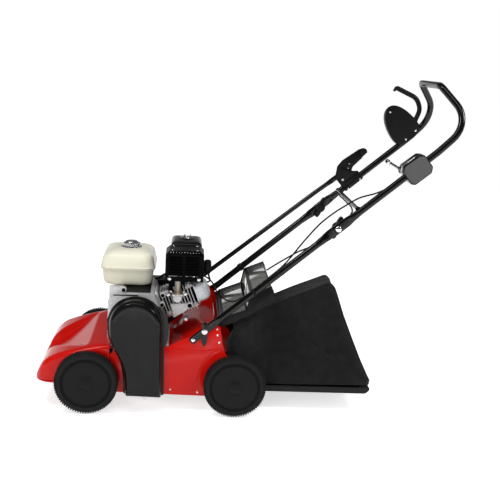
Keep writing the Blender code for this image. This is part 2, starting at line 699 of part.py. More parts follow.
def make_engine_block():
    """Crankcase, finned cylinder with its head, valve cover and their bolts."""
    edge_top = along_cylinder(0.0785, 0.052)
    edge_low = along_cylinder(0.0785, -0.056)
    case_top = 0.3655
    outline = [
        (0.060, ENGINE_BASE_Z), (0.053, 0.215), (0.053, 0.335), (0.072, case_top),
        (edge_top[0] - 0.012, case_top), edge_top, edge_low, (0.2440, 0.222), (0.2440, ENGINE_BASE_Z),
    ]
    corners = [0.002, 0.010, 0.02, 0.012, 0.006, 0.001, 0.001, 0.01, 0.002]
    case = prism(rounded(outline, corners, 2), -0.1435, 0.075)
    foot = box((0.046, -0.152, ENGINE_BASE_Z), (0.252, 0.0745, ENGINE_BASE_Z + 0.013), 0.003, 1)
    side_cover = [
        (0, -0.1420), (0.0620, -0.1420), (0.0620, -0.1480), (0.0500, -0.1520), (0.024, -0.1560), (0, -0.1560),
    ]
    cover = turned(side_cover, at(CRANK[0], 0, CRANK[1] - 0.01), 20)
    case = union(case, foot, cover)
    case = cut(case, rod_y(CRANK, 0.0130, -0.17, -0.1380))
    piece("crankcase", case, "cast_aluminium")

    rings = []
    s = 0.0790
    near, far = -0.112, -0.004
    pitch = 0.0156
    for index in range(7):
        grow = 0.0 if index < 4 else 0.004
        half = 0.046 + grow
        rings.append(slab(s, half - 0.014, near + 0.012, far - 0.012))
        rings.append(slab(s + pitch * 0.7, half - 0.014, near + 0.012, far - 0.012))
        rings.append(slab(s + pitch * 0.7, half, near - grow, far + grow))
        rings.append(slab(s + pitch, half, near - grow, far + grow))
        s += pitch
    rings.append(slab(s, 0.036, near + 0.006, far - 0.006))
    rings.append(slab(s + 0.012, 0.036, near + 0.006, far - 0.006))
    cylinder = loft(rings)
    port_low = (EXHAUST[0] - 0.017, -0.1425, 0.338)
    port_high = (EXHAUST[0] + 0.017, -0.100, EXHAUST_BASE_Z - GAP)
    port = box(port_low, port_high, 0.003, 1)
    piece("cylinder", union(cylinder, port), "cast_aluminium", sharp=30)

    head_end = s + 0.012
    rings = [
        slab(head_end + GAP, 0.034, -0.112, -0.014, 0.010),
        slab(head_end + 0.034, 0.034, -0.112, -0.014, 0.010),
        slab(head_end + 0.044, 0.026, -0.104, -0.022, 0.009),
    ]
    piece("valve_cover", loft(rings), "cast_aluminium")

    boot = box((0.3570, -0.0330, 0.4080), (0.3830, -0.0080, 0.4550), 0.006, 2)
    nose = turned([(0, 0), (0.0085, 0), (0.0085, 0.040), (0, 0.040)], (0, 0, 0), 12, axis="X")
    lean = Matrix.Rotation(-CYLINDER_LEAN, 3, "Y")
    bmesh.ops.rotate(nose, verts=nose.verts, cent=(0, 0, 0), matrix=lean)
    bmesh.ops.translate(nose, verts=nose.verts, vec=at(0.3320, -0.0205, 0.4040))
    piece("spark_plug_cap", union(boot, nose), "black_plastic")


def make_exhaust():
    """Pipe from the head, round muffler and its folded guard."""
    pipe = [(0, EXHAUST_BASE_Z), (0.0105, EXHAUST_BASE_Z), (0.0105, 0.4180), (0, 0.4180)]
    piece("exhaust_pipe", turned(pipe, at(*EXHAUST, 0), 12, axis="Z"), "exhaust_steel")
    muffler = [(0, 0.246), (0.030, 0.246), (0.036, 0.252), (0.036, 0.336), (0.030, 0.342), (0, 0.342)]
    drum = turned(muffler, at(0, -0.0900, 0.4550), 20, axis="X")
    piece("muffler", drum, "exhaust_steel")
    low, high = Vector((0.2325, -0.1420, 0.4065)), Vector((0.3550, -0.0360, 0.5050))
    wall = 0.002
    shell = box(low, high)
    chamfer_top(shell, 0.012)
    inside = box((low.x + wall, low.y + wall, low.z - 0.01), high - Vector((wall, wall, wall)))
    chamfer_top(inside, 0.011)
    piece("muffler_guard", cut(shell, inside), "black_metal")


def chamfer_top(bm, offset):
    """Cut the edges round the highest face of a box."""
    top = max(v.co.z for v in bm.verts)
    edges = [e for e in bm.edges if all(v.co.z > top - 0.001 for v in e.verts)]
    bmesh.ops.bevel(bm, geom=edges, offset=offset, segments=1, profile=0.5, affect="EDGES", material=-1)


def make_fuel_system():
    """Tank with its welded seam, filler cap, carburettor, choke lever and air cleaner."""
    centre = (0.1165, 0.0350)
    sections = [
        (0.3662, 0.069, 0.084), (0.3705, 0.077, 0.0925), (0.3820, 0.0805, 0.0965), (0.4195, 0.0845, 0.1005),
        (0.4200, 0.0895, 0.1055), (0.4275, 0.0905, 0.1065), (0.4310, 0.0885, 0.1045), (0.4600, 0.0815, 0.0975),
        (0.4700, 0.076, 0.092), (0.4760, 0.064, 0.080), (0.4800, 0.046, 0.062), (0.4812, 0.030, 0.046),
    ]
    rings = []
    for z, half_x, half_y in sections:
        corners = [(-half_x, -half_y), (half_x, -half_y), (half_x, half_y), (-half_x, half_y)]
        plan = rounded(corners, min(0.6 * half_x, 0.030), 2)
        rings.append([at(centre[0] + x, centre[1] + y, z) for x, y in plan])
    piece("fuel_tank", loft(rings), "cream_paint", sharp=28)

    place = at(0.1150, 0.030, 0)
    cap = [
        (0, 0.4815), (0.0260, 0.4815), (0.0290, 0.4850), (0.0290, 0.4970), (0.0240, 0.5000), (0.010, 0.5010),
        (0, 0.5010),
    ]
    axis = pivot("fuel_cap_axis", at(0.1150, 0.030, 0.4815))
    piece("fuel_cap", turned(cap, place, 20, axis="Z"), "bright_steel", axis)

    body = union(
        box((0.2660, 0.0150, 0.3750), (0.3060, 0.0550, 0.4300), 0.003, 1),
        rod_y((0.2860, 0.4050), 0.0150, 0.0030, 0.0700, 16),
    )
    piece("carburettor", body, "cast_aluminium")
    axis = pivot("choke_axis", at(0.3240, 0.0350, 0.4150))
    lever = union(
        box((0.3064, 0.0310, 0.4110), (0.3300, 0.0390, 0.4190), 0.001, 1),
        arm_plate((0.3240, 0.4150), (0.3400, 0.3900), 0.0050, 0.0330, 0.0370),
    )
    piece("choke_lever", lever, "black_plastic", axis)

    base = prism(rounded([(0.2480, 0.4310), (0.3480, 0.4310), (0.3480, 0.4640), (0.2480, 0.4640)], 0.006, 2),
                 -0.0300, 0.1100)
    piece("air_cleaner_base", base, "black_plastic")
    rings = []
    for z, inset in ((0.4643, 0.0), (0.5020, 0.002), (0.5080, 0.006), (0.5120, 0.016)):
        corners = [(0.2440 + inset, -0.0320 + inset), (0.3520 - inset, -0.0320 + inset),
                   (0.3520 - inset, 0.1130 - inset), (0.2440 + inset, 0.1130 - inset)]
        rings.append([at(x, y, z) for x, y in rounded(corners, 0.014, 2)])
    nut = [(0, 0.5110), (0.0060, 0.5110), (0.0060, 0.5190), (0, 0.5190)]
    wings = [
        (0.2870, 0.5260), (0.2940, 0.5140), (0.3060, 0.5140), (0.3130, 0.5260), (0.3070, 0.5260),
        (0.3000, 0.5175), (0.2930, 0.5260),
    ]
    cover = union(loft(rings), turned(nut, at(0.3000, 0.0400, 0), 10, axis="Z"), prism(wings, 0.0388, 0.0412))
    piece("air_cleaner_cover", cover, "black_plastic")


def make_recoil_side():
    """Blower housing, rope starter and its grip on the right side of the engine."""
    foot = ENGINE_BASE_Z + 0.001
    outline = [polar(CRANK, 0.1020, a) for a in range(150, 291, 10)]
    outline = [p for p in outline if p[1] > foot]
    outline += [(0.2350, foot), (0.3150, 0.2550), (0.3300, 0.3200), (0.3050, 0.3600), (0.0700, 0.3600)]
    outline[0] = (0.0560, 0.3350)
    housing = prism(outline, 0.0753, 0.1380)
    piece("flywheel_cover", housing, "black_metal")
    starter = [
        (0, 0.1383), (0.0850, 0.1383), (0.0850, 0.1560), (0.0700, 0.1680), (0.0250, 0.1700), (0, 0.1700),
    ]
    piece("recoil_starter", turned(starter, at(CRANK[0], 0, CRANK[1]), 24), "black_metal")
    start = polar(CRANK, 0.0875, 152)
    direction = Vector((math.cos(math.radians(152)), 0, math.sin(math.radians(152))))
    axis = pivot("starter_grip_axis", at(start[0], 0.1530, start[1]))
    points = [at(start[0], 0.1530, start[1]) + direction * d for d in (0.0, 0.006, 0.018, 0.026)]
    rings = rings_along(points, [0.009, 0.016, 0.017, 0.013], [0.006, 0.009, 0.010, 0.008], 12, (0, 1, 0))
    piece("starter_grip", loft(rings), "black_plastic", axis)


def half_upper_handle():
    """Centre line of the upper handle from its straight left leg to the middle of the top bar."""
    corners = [
        on_handle(0.100, 0.0, -TUBE_Y),
        at(UPPER_LEG_END[0], -TUBE_Y, UPPER_LEG_END[1]),
        at(1.1550, -TUBE_Y, 0.9580),
        at(1.0720, -TOP_BAR_HALF, 1.0623),
        at(1.0720, 0.0, 1.0623),
    ]
    return bent_path(corners, [0.300, 0.085, 0.030], 4)


def make_handles():
    """Lower tubes with flattened ends, the folding upper handle, its crossbar, straps, bolts and knobs."""
    sides = 10
    foot, fold = Vector(HANDLE_FOOT), Vector(FOLD_PIVOT)
    run = (fold - foot).normalized()
    length = (fold - foot).length
    stations = [
        (-0.010, 0.0125, 0.0022, -0.0063), (0.084, 0.0125, 0.0022, -0.0063), (0.104, 0.0115, 0.0100, -0.0010),
        (0.116, TUBE_RADIUS, TUBE_RADIUS, 0.0), (length - 0.085, TUBE_RADIUS, TUBE_RADIUS, 0.0),
        (length - 0.060, 0.0125, 0.0080, 0.0018), (length - 0.034, 0.0150, 0.0028, 0.0040),
        (length + 0.014, 0.0150, 0.0028, 0.0040), (length + 0.020, 0.0110, 0.0026, 0.0040),
    ]
    for side, sign in (("left", -1), ("right", 1)):
        points, across, thick = [], [], []
        for distance, wide, deep, inward in stations:
            place = foot + run * distance
            points.append(at(place.x, sign * (TUBE_Y - inward), place.y))
            across.append(wide)
            thick.append(deep)
        bar = loft(rings_along(points, across, thick, sides, (0, 1, 0)))
        hole = rod_y(FOLD_PIVOT, 0.0046, sign * 0.19, sign * 0.23, 12)
        x, z = STRAP_BOLT
        strap_line = [
            (x, z - 0.052), (x + 0.009, z - 0.034), (x + 0.009, z + 0.025), (x, z + 0.034),
            (x - 0.009, z + 0.025), (x - 0.009, z - 0.034),
        ]
        strap = prism(strap_line, sign * 0.2190, sign * 0.2240)
        head_line = [(0, 0.2230), (0.0075, 0.2230), (0.0060, 0.2275), (0, 0.2280)]
        head = turned([(r, sign * y) for r, y in head_line], at(x, 0, z), 12)
        piece(f"lower_handle_{side}", cut(union(bar, strap, head), hole), "black_paint")

    axis = pivot("handle_fold_axis", at(FOLD_PIVOT[0], 0, FOLD_PIVOT[1]))
    start = Vector(FOLD_PIVOT)
    leg = (Vector(UPPER_LEG_END) - start).normalized()
    stations = [
        (-0.020, 0.0110, 0.0026, -0.0030), (-0.014, 0.0150, 0.0028, -0.0030),
        (0.034, 0.0150, 0.0028, -0.0030), (0.060, 0.0125, 0.0080, -0.0012),
        (0.085, TUBE_RADIUS, TUBE_RADIUS, 0.0),
    ]
    points, across, thick = [], [], []
    for distance, wide, deep, inward in stations:
        place = start + leg * distance
        points.append(at(place.x, -TUBE_Y + inward, place.y))
        across.append(wide)
        thick.append(deep)
    for point in half_upper_handle():
        points.append(point)
        across.append(TUBE_RADIUS)
        thick.append(TUBE_RADIUS)
    rings = rings_along(points, across, thick, sides, (0, 1, 0))
    for vertex in rings[-1]:
        vertex.y = 0.0
    mirrored = [[Vector((v.x, -v.y, v.z)) for v in ring] for ring in reversed(rings[:-1])]
    bow = loft(rings + mirrored)
    holes = [rod_y(FOLD_PIVOT, 0.0046, sign * 0.20, sign * 0.23, 12) for sign in (-1, 1)]
    piece("upper_handle", cut(bow, *holes), "black_paint", axis)

    bar = (0.8256, 0.6740)
    reach = TUBE_Y - TUBE_RADIUS - GAP
    points = [at(bar[0], y, bar[1]) for y in (-reach, -reach + 0.02, reach - 0.02, reach)]
    size = [0.0065] * len(points)
    piece("crossbar", loft(rings_along(points, size, size, sides, (0, 0, 1))), "black_paint", axis)

    for side, sign in (("left", -1), ("right", 1)):
        bolt = [
            (0, 0.1820), (0.0040, 0.1820), (0.0040, 0.2208), (0.0100, 0.2208), (0.0085, 0.2250),
            (0.0045, 0.2268), (0, 0.2270),
        ]
        place = at(FOLD_PIVOT[0], 0, FOLD_PIVOT[1])
        shank = turned([(r, sign * y) for r, y in bolt], place, 14)
        low, high = polar(FOLD_PIVOT, 0.024, 250), polar(FOLD_PIVOT, 0.024, 70)
        knob = arm_plate(low, high, 0.013, sign * 0.2045, sign * 0.1840)
        hub_line = [(0, 0.2045), (0.0155, 0.2045), (0.0155, 0.1800), (0, 0.1800)]
        hub = turned([(r, sign * y) for r, y in hub_line], place, 14)
        piece(f"fold_bolt_{side}", union(shank, knob, hub), "bright_steel")


def make_controls():
    """Clutch housing and lever, throttle box and lever, depth bracket, lever and rod."""
    fold = pivot("control_carrier", at(FOLD_PIVOT[0], 0, FOLD_PIVOT[1]))

    outline = [
        (0.9725, 0.9300), (0.9740, 0.9600), (0.9900, 0.9770), (1.0150, 0.9790), (1.0520, 0.9610),
        (1.0850, 0.9350), (1.1000, 0.9050), (1.0880, 0.8780), (1.0650, 0.8560), (1.0330, 0.8400),
        (1.0050, 0.8650),
    ]
    shell = prism(rounded(outline, 0.008, 2), 0.1960, 0.2280)
    leg_path = [Vector((p.x, -p.y, p.z)) for p in half_upper_handle()[:9]]
    channel = tube(leg_path, TUBE_RADIUS + 0.0010, 14)
    slot_line = [(1.1300, 0.9000), (1.0750, 0.9020), (1.0550, 0.9300), (1.0600, 1.0000), (1.1400, 1.0000)]
    slot = prism(slot_line, 0.2040, 0.2200)
    piece("clutch_housing", cut(shell, channel, slot), "black_plastic", fold)

    lever_y = 0.2120
    line = [
        (1.0720, 0.9180), (1.0830, 0.9300), (1.0975, 0.9700), (1.0820, 1.0080), (1.0080, 1.0400),
        (0.9980, 1.0290),
    ]
    corners = [at(x, lever_y, z) for x, z in line]
    axis = pivot("clutch_lever_axis", corners[0])
    path = bent_path(corners, [0.008, 0.030, 0.018, 0.004], 4)
    count = len(path)
    across = [0.0065] * 3 + [0.0085] * (count - 9) + [0.0070] * 5 + [0.005]
    lever = loft(rings_along(path, across, [0.0050] * count, 8, (0, 1, 0)))
    piece("clutch_lever", lever, "black_plastic", axis)

    middle = Vector(FOLD_PIVOT) + (Vector(UPPER_LEG_END) - Vector(FOLD_PIVOT)).normalized() * 0.3000
    run = (Vector(UPPER_LEG_END) - Vector(FOLD_PIVOT)).normalized()
    up = Vector((-run.y, run.x))
    shape = [
        (-0.042, -0.0225), (-0.033, -0.032), (0.030, -0.033), (0.045, -0.020), (0.045, 0.026),
        (0.033, 0.035), (-0.028, 0.0375), (-0.042, 0.024),
    ]
    outline = [tuple(middle + run * u + up * v) for u, v in shape]
    shell = prism(rounded(outline, 0.011, 3), -0.2480, -0.1860)
    edges = [e for e in shell.edges if all(v.co.y < -0.24 for v in e.verts)]
    bmesh.ops.bevel(shell, geom=edges, offset=0.006, segments=2, profile=0.5, affect="EDGES", material=-1)
    channel = [Vector((p.x, -p.y, p.z)) for p in (on_handle(0.22), on_handle(0.38))]
    piece("control_box", cut(shell, tube(channel, TUBE_RADIUS + 0.0006, 14)), "black_plastic", fold)

    hinge = middle + run * -0.0354 + up * 0.0188
    axis = pivot("throttle_lever_axis", at(hinge.x, -0.1830, hinge.y))
    tip = middle + run * -0.0506 + up * 0.0636
    arm = arm_plate(tuple(hinge), tuple(tip), 0.0055, -0.1857, -0.1827)
    low, high = tip - Vector((0.009, 0.009)), tip + Vector((0.009, 0.009))
    grip = box((low.x, -0.1857, low.y), (high.x, -0.1757, high.y), 0.002, 1)
    boss = rod_y(tuple(hinge), 0.009, -0.1857, -0.1800, 14)
    piece("throttle_lever", union(arm, grip, boss), "black_plastic", axis)

    make_depth_linkage(fold)


def make_depth_linkage(fold):
    """Bracket round the right tube, the lever on it, and the long rod down to the axle crank."""
    run = (Vector(UPPER_LEG_END) - Vector(FOLD_PIVOT)).normalized()
    up = Vector((-run.y, run.x))
    base = Vector((0.8420, 0.6790))

    def place(u, v):
        return tuple(base + run * u + up * v)

    sleeve = [(0.003, -0.0145), (0.082, -0.0145), (0.082, 0.0150), (0.003, 0.0150)]
    ear = [
        (0.003, 0.0080), (0.080, 0.0080), (0.082, 0.0180), (0.062, 0.0300), (0.050, 0.0560), (0.030, 0.0680),
        (0.002, 0.0440),
    ]
    bracket = union(
        prism(rounded([place(*p) for p in sleeve], 0.004, 2), 0.1975, 0.2280),
        prism(rounded([place(*p) for p in ear], 0.004, 2), 0.2020, 0.2070),
    )
    channel = tube([on_handle(0.095), on_handle(0.21)], TUBE_RADIUS + 0.0006, 14)
    bolt_hole = rod_y(LEVER_PIVOT, 0.0046, 0.19, 0.24, 12)
    piece("lever_bracket", cut(bracket, channel, bolt_hole), "black_plastic", fold)

    axis = pivot("depth_lever_axis", at(LEVER_PIVOT[0], 0.2110, LEVER_PIVOT[1]))
    outline = [
        (0.006, 0.0190), (0.046, 0.0190), (0.076, 0.0400), (0.130, 0.0460), (0.146, 0.0520), (0.146, 0.0680),
        (0.130, 0.0760), (0.060, 0.0810), (0.033, 0.0750), (0.004, 0.0490),
    ]
    pin_place = depth_pin(LEVER_PIVOT)
    cheek = prism(rounded([place(*p) for p in outline], 0.006, 2), 0.2074, 0.2124)
    tip = place(0.138, 0.0600)
    knob = box((tip[0] - 0.010, 0.1960, tip[1] - 0.010), (tip[0] + 0.010, 0.2300, tip[1] + 0.010), 0.005, 2)
    pin = rod_y(pin_place, 0.0040, 0.2100, 0.2200, 12)
    bolt = rod_y(LEVER_PIVOT, 0.0040, 0.2000, 0.2100, 12)
    head = rod_y(LEVER_PIVOT, 0.0070, 0.1985, 0.2016, 12)
    piece("depth_lever", union(cheek, knob, pin, bolt, head), "black_plastic", axis)

    low, knee, high = Vector(depth_pin(CRANK_PIVOT)), Vector(ROD_KNEE), Vector(pin_place)
    axis = pivot("depth_rod_axis", at(low.x, 0.2240, low.y))
    first, second = (knee - low).normalized(), (high - knee).normalized()
    reach_low, reach_high = (knee - low).length, (high - knee).length
    flat = 0.0018
    stations = [
        (low - first * 0.008, 0.0080, flat, 0.2240), (low + first * 0.180, 0.0080, flat, 0.2240),
        (low + first * 0.205, ROD_RADIUS, 0.0060, 0.2218),
        (low + first * 0.230, ROD_RADIUS, ROD_RADIUS, ROD_Y),
        (low + first * (reach_low - 0.020), ROD_RADIUS, ROD_RADIUS, ROD_Y),
        (knee + second * 0.020, ROD_RADIUS, ROD_RADIUS, ROD_Y),
        (knee + second * (reach_high - 0.110), ROD_RADIUS, ROD_RADIUS, 0.2225),
        (knee + second * (reach_high - 0.060), ROD_RADIUS, 0.0050, 0.2180),
        (knee + second * (reach_high - 0.036), 0.0090, 0.0020, 0.2150),
        (knee + second * (reach_high - 0.002), 0.0090, 0.0020, 0.2150),
    ]
    points = [at(spot.x, y, spot.y) for spot, wide, deep, y in stations]
    across = [wide for spot, wide, deep, y in stations]
    thick = [deep for spot, wide, deep, y in stations]
    rod = loft(rings_along(points, across, thick, 10, (0, 1, 0)))
    eye = rod_y(tuple(high), 0.0130, 0.2131, 0.2169, 16)
    leaving = (high - Vector(FOLD_PIVOT)).normalized()
    leaving = Vector((leaving.y, -leaving.x))
    pin_clearance = 0.0048
    side = Vector((-leaving.y, leaving.x)) * pin_clearance
    inner_end, open_end = high - leaving * pin_clearance, high + leaving * 0.03
    slot_line = [inner_end + side, inner_end - side, open_end - side, open_end + side]
    slot = prism([tuple(corner) for corner in slot_line], 0.2050, 0.2300)
    pin_hole = rod_y(tuple(low), 0.0046, 0.21, 0.24, 12)
    piece("depth_rod", cut(union(rod, eye), pin_hole, slot), "black_paint", axis)


def make_cables():
    """Throttle and clutch cables on their real routes."""
    throttle = [
        on_handle(0.246, 0.0030, -0.1965), on_handle(0.200, 0.0030, -0.1965),
        on_handle(0.160, 0.0120, -0.1950), at(0.8300, -0.1920, 0.7080),
        at(0.7857, -0.1900, 0.6802), at(0.7480, -0.1900, 0.6530),
        at(0.7110, -0.1900, 0.6200), at(0.6800, -0.1900, 0.5830), at(0.6525, -0.1900, 0.5473),
        at(0.6280, -0.1900, 0.5130), at(0.6000, -0.1905, 0.4790), at(0.5600, -0.1910, 0.4420),
        at(0.5250, -0.1900, 0.4110), at(0.5020, -0.1820, 0.3850), at(0.4810, -0.1700, 0.3692),
        at(0.4528, -0.1400, 0.3462), at(0.4238, -0.0600, 0.3353), at(0.4030, -0.0450, 0.3540),
        at(0.3870, -0.0300, 0.3811), at(0.3640, -0.0050, 0.3930), at(0.3340, 0.0120, 0.3980),
        at(0.3070, 0.0200, 0.4000),
    ]
    piece("throttle_cable", tube(smooth_path(throttle, 0.026), 0.0026, 6), "cable_plastic")
    clutch = [
        on_handle(0.342, -0.0010, 0.1930), on_handle(0.300, -0.0010, 0.1925), on_handle(0.200, 0.0, 0.1950),
        on_handle(0.110, -0.0020, 0.1900), at(0.8270, 0.1600, 0.6625), at(0.8250, 0.1000, 0.6625),
        at(0.8240, 0.0000, 0.6625), at(0.8230, -0.1000, 0.6620), at(0.8150, -0.1500, 0.6500),
        on_handle(0.020, -0.0060, -0.1720), on_handle(0.040, -0.0040, -0.1740, lower=True),
        on_handle(0.085, -0.0020, -0.1900, lower=True), on_handle(0.115, 0.0060, -0.1930, lower=True),
        on_handle(0.145, 0.0140, -0.1900, lower=True), at(0.6250, -0.1780, 0.5110),
        at(0.5900, -0.1600, 0.4830), at(0.5560, -0.1480, 0.4560),
    ]
    piece("clutch_cable", tube(smooth_path(clutch, 0.026), 0.0026, 6), "cable_plastic")


def flap_outline():
    """Side view of the flap: low tread, riser, high tread, rear wall and lower edge."""
    return [
        (0.4060, 0.2890), (0.4177, 0.2980), (0.4980, 0.3300), (0.5080, 0.3810), (0.5750, 0.4090),
        (0.5900, 0.3640), (0.4514, 0.2860), (0.4120, 0.2720),
    ]


def make_rear_flap():
    """Stepped tray that closes the chute above the bag; it swings up on its front edge."""
    axis = pivot("rear_flap_axis", at(0.4080, 0, 0.2805))
    outline = flap_outline()
    corners = [0.002, 0.004, 0.004, 0.006, 0.006, 0.002, 0.002, 0.002]
    shell = prism(rounded(outline, corners, 2), -0.1860, 0.1860)
    inner = [
        (0.4200, 0.2650), (0.4225, 0.2960), (0.5010, 0.3275), (0.5110, 0.3790), (0.5735, 0.4050),
        (0.5860, 0.3672), (0.5900, 0.3400),
    ]
    piece("rear_flap", cut(shell, prism(inner, -0.1835, 0.1835)), "black_plastic", axis)


def bag_half(x, z):
    """Half width of the bag at a place: full at its tray and mouth, drawn in to a narrow ridge on top."""
    ridge = 0.3260 + 0.404 * (min(x, 0.790) - 0.605)
    rise = min(1.0, max(0.0, (z - 0.080) / (ridge - 0.080)))
    back = min(1.0, max(0.0, (x - 0.45) / 0.15))
    return 0.185 - 0.125 * rise * back * back * (3 - 2 * back)


def bag_wall(line, places, wall):
    """A closed solid over the bag's side view, as wide at each corner as the bag is less a wall."""
    bm = bmesh.new()
    sides = []
    for sign in (-1, 1):
        sides.append([
            bm.verts.new(at(x, sign * (bag_half(*place) - wall), z)) for (x, z), place in zip(line, places)
        ])
    left, right = sides
    bm.faces.new(left)
    bm.faces.new(reversed(right))
    for index in range(len(line)):
        bm.faces.new((left[index - 1], right[index - 1], right[index], left[index]))
    bmesh.ops.triangulate(bm, faces=bm.faces)
    bmesh.ops.recalc_face_normals(bm, faces=bm.faces)
    return bm


def make_bag():
    """Open-mouthed bag of fabric on a stiff plastic tray."""
    axis = pivot("bag_slide", at(0.6, 0, 0.25))
    outer = [
        (0.4850, 0.0800), (0.9100, 0.0850), (0.9150, 0.0990), (0.9034, 0.1200), (0.8800, 0.1680),
        (0.8530, 0.2315), (0.8255, 0.2985), (0.8050, 0.3590), (0.7960, 0.3850), (0.7800, 0.4010),
        (0.7290, 0.3800), (0.6670, 0.3545), (0.6050, 0.3255), (0.4540, 0.2640), (0.4360, 0.2300),
        (0.4420, 0.1750), (0.4850, 0.1250),
    ]
    inner = [
        (0.4830, 0.0850), (0.9050, 0.0900), (0.9096, 0.0990), (0.8985, 0.1180), (0.8752, 0.1660),
        (0.8482, 0.2298), (0.8208, 0.2968), (0.8003, 0.3572), (0.7918, 0.3822), (0.7785, 0.3955),
        (0.7309, 0.3754), (0.6689, 0.3499), (0.6070, 0.3209), (0.4490, 0.2575), (0.4340, 0.2300),
        (0.4400, 0.1745), (0.4830, 0.1245),
    ]
    skin = cut(bag_wall(outer, outer, 0.0), bag_wall(inner, outer, 0.005))
    piece("bag_fabric", skin, "bag_cloth", axis)
    low, high = 0.0600, 0.0797
    floor, open_top = low + 0.006, high + 0.02
    tray_line = [(0.4850, low), (0.8930, low), (0.9060, 0.0650), (0.9130, 0.0750), (0.9130, high), (0.4850, high)]
    inner_line = [(0.4900, floor), (0.8800, floor), (0.8850, open_top), (0.4900, open_top)]
    tray = cut(prism(tray_line, -0.1850, 0.1850), prism(inner_line, -0.1800, 0.1800))
    piece("bag_tray", tray, "black_plastic", axis)


def main():
    for obj in list(bpy.data.objects):
        bpy.data.objects.remove(obj)
    make_wheels()
    make_rear_axle()
    make_front_axle()
    make_side_plates()
    make_engine_deck()
    make_front_hood()
    make_rotor()
    make_rotor_bearings()
    make_belt_drive()
    make_belt_cover()
    make_engine_block()
    make_exhaust()
    make_fuel_system()
    make_recoil_side()
    make_handles()
    make_controls()
    make_cables()
    make_rear_flap()
    make_bag()


main()
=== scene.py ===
"""Looks of a petrol lawn scarifier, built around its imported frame.

Metres, +Z up. The nose points to -X, the operator walks behind at +X, and -Y is the machine's left.
Most places are given with x measured back from the front axle, through at().
"""

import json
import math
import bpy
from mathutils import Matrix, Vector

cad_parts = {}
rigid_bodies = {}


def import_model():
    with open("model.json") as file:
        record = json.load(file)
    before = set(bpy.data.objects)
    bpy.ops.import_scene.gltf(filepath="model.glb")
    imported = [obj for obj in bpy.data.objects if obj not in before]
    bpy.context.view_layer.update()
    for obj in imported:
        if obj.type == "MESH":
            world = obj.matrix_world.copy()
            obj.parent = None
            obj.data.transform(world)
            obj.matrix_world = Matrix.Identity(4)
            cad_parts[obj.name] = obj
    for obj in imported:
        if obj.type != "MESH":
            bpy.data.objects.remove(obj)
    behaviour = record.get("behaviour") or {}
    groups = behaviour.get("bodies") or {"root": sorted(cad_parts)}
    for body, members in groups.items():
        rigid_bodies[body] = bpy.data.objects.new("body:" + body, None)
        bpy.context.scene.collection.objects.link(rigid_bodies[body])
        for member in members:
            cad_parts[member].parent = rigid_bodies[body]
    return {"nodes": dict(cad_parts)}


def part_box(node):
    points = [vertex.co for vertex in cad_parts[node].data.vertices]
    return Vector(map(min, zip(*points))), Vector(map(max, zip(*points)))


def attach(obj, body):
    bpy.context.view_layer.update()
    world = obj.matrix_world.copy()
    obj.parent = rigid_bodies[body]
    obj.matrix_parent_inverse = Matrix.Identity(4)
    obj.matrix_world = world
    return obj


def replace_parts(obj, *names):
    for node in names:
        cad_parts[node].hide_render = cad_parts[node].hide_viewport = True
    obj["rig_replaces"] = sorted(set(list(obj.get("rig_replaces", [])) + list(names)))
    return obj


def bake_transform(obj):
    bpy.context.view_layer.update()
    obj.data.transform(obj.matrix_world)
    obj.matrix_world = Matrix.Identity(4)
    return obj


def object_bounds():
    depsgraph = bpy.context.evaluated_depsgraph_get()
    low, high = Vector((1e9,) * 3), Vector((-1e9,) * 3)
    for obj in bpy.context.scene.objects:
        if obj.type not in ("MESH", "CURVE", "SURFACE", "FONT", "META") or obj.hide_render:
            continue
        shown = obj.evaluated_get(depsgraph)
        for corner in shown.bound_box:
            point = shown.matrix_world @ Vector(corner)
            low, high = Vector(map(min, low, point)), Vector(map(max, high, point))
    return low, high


bl_info = {
    "name": "Lawn Scarifier",
    "version": (1, 0, 0),
    "blender": (4, 5, 0),
    "location": "3D View > Sidebar > Scarifier",
    "description": "Builds the painted, moulded, cast and sewn pieces of a lawn scarifier around its frame",
    "category": "Object",
}

import bmesh
import bpy
from bpy.props import FloatProperty, FloatVectorProperty, IntProperty, PointerProperty
from mathutils import Matrix, Vector

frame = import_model()
CAD_LOW, CAD_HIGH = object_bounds()

# Places that drive the pieces, read from the frame or measured with it
AXLE = sum(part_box("front_left_hub"), Vector()) / 2
REAR_AXLE = sum(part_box("rear_left_hub"), Vector()) / 2
FRONT_AXLE_X = AXLE.x
WHEELBASE = REAR_AXLE.x - AXLE.x
WHEEL_RADIUS = 0.1
PLATE_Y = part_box("right_side_plate")[1].y
TUBE_Y = 0.2123
TUBE_RADIUS = 0.011
FOLD_PIVOT = (0.7655, 0.6115)
HANDLE_FOOT = (0.331, 0.2395)
UPPER_LEG_END = (1.06, 0.864)
TOP_BAR_HALF = 0.1254
CRANK = (0.147, 0.282)
CYLINDER_LEAN = math.radians(22)
ENGINE_BASE_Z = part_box("crankcase")[0].z
SIDES = (("left", -1), ("right", 1))


def at(x, y, z):
    """A point whose x is measured back from the front axle."""
    return Vector((FRONT_AXLE_X + x, y, z))


def polar(centre, radius, degrees):
    """An (x, z) point at an angle up from +X about a centre."""
    angle = math.radians(degrees)
    return (centre[0] + radius * math.cos(angle), centre[1] + radius * math.sin(angle))


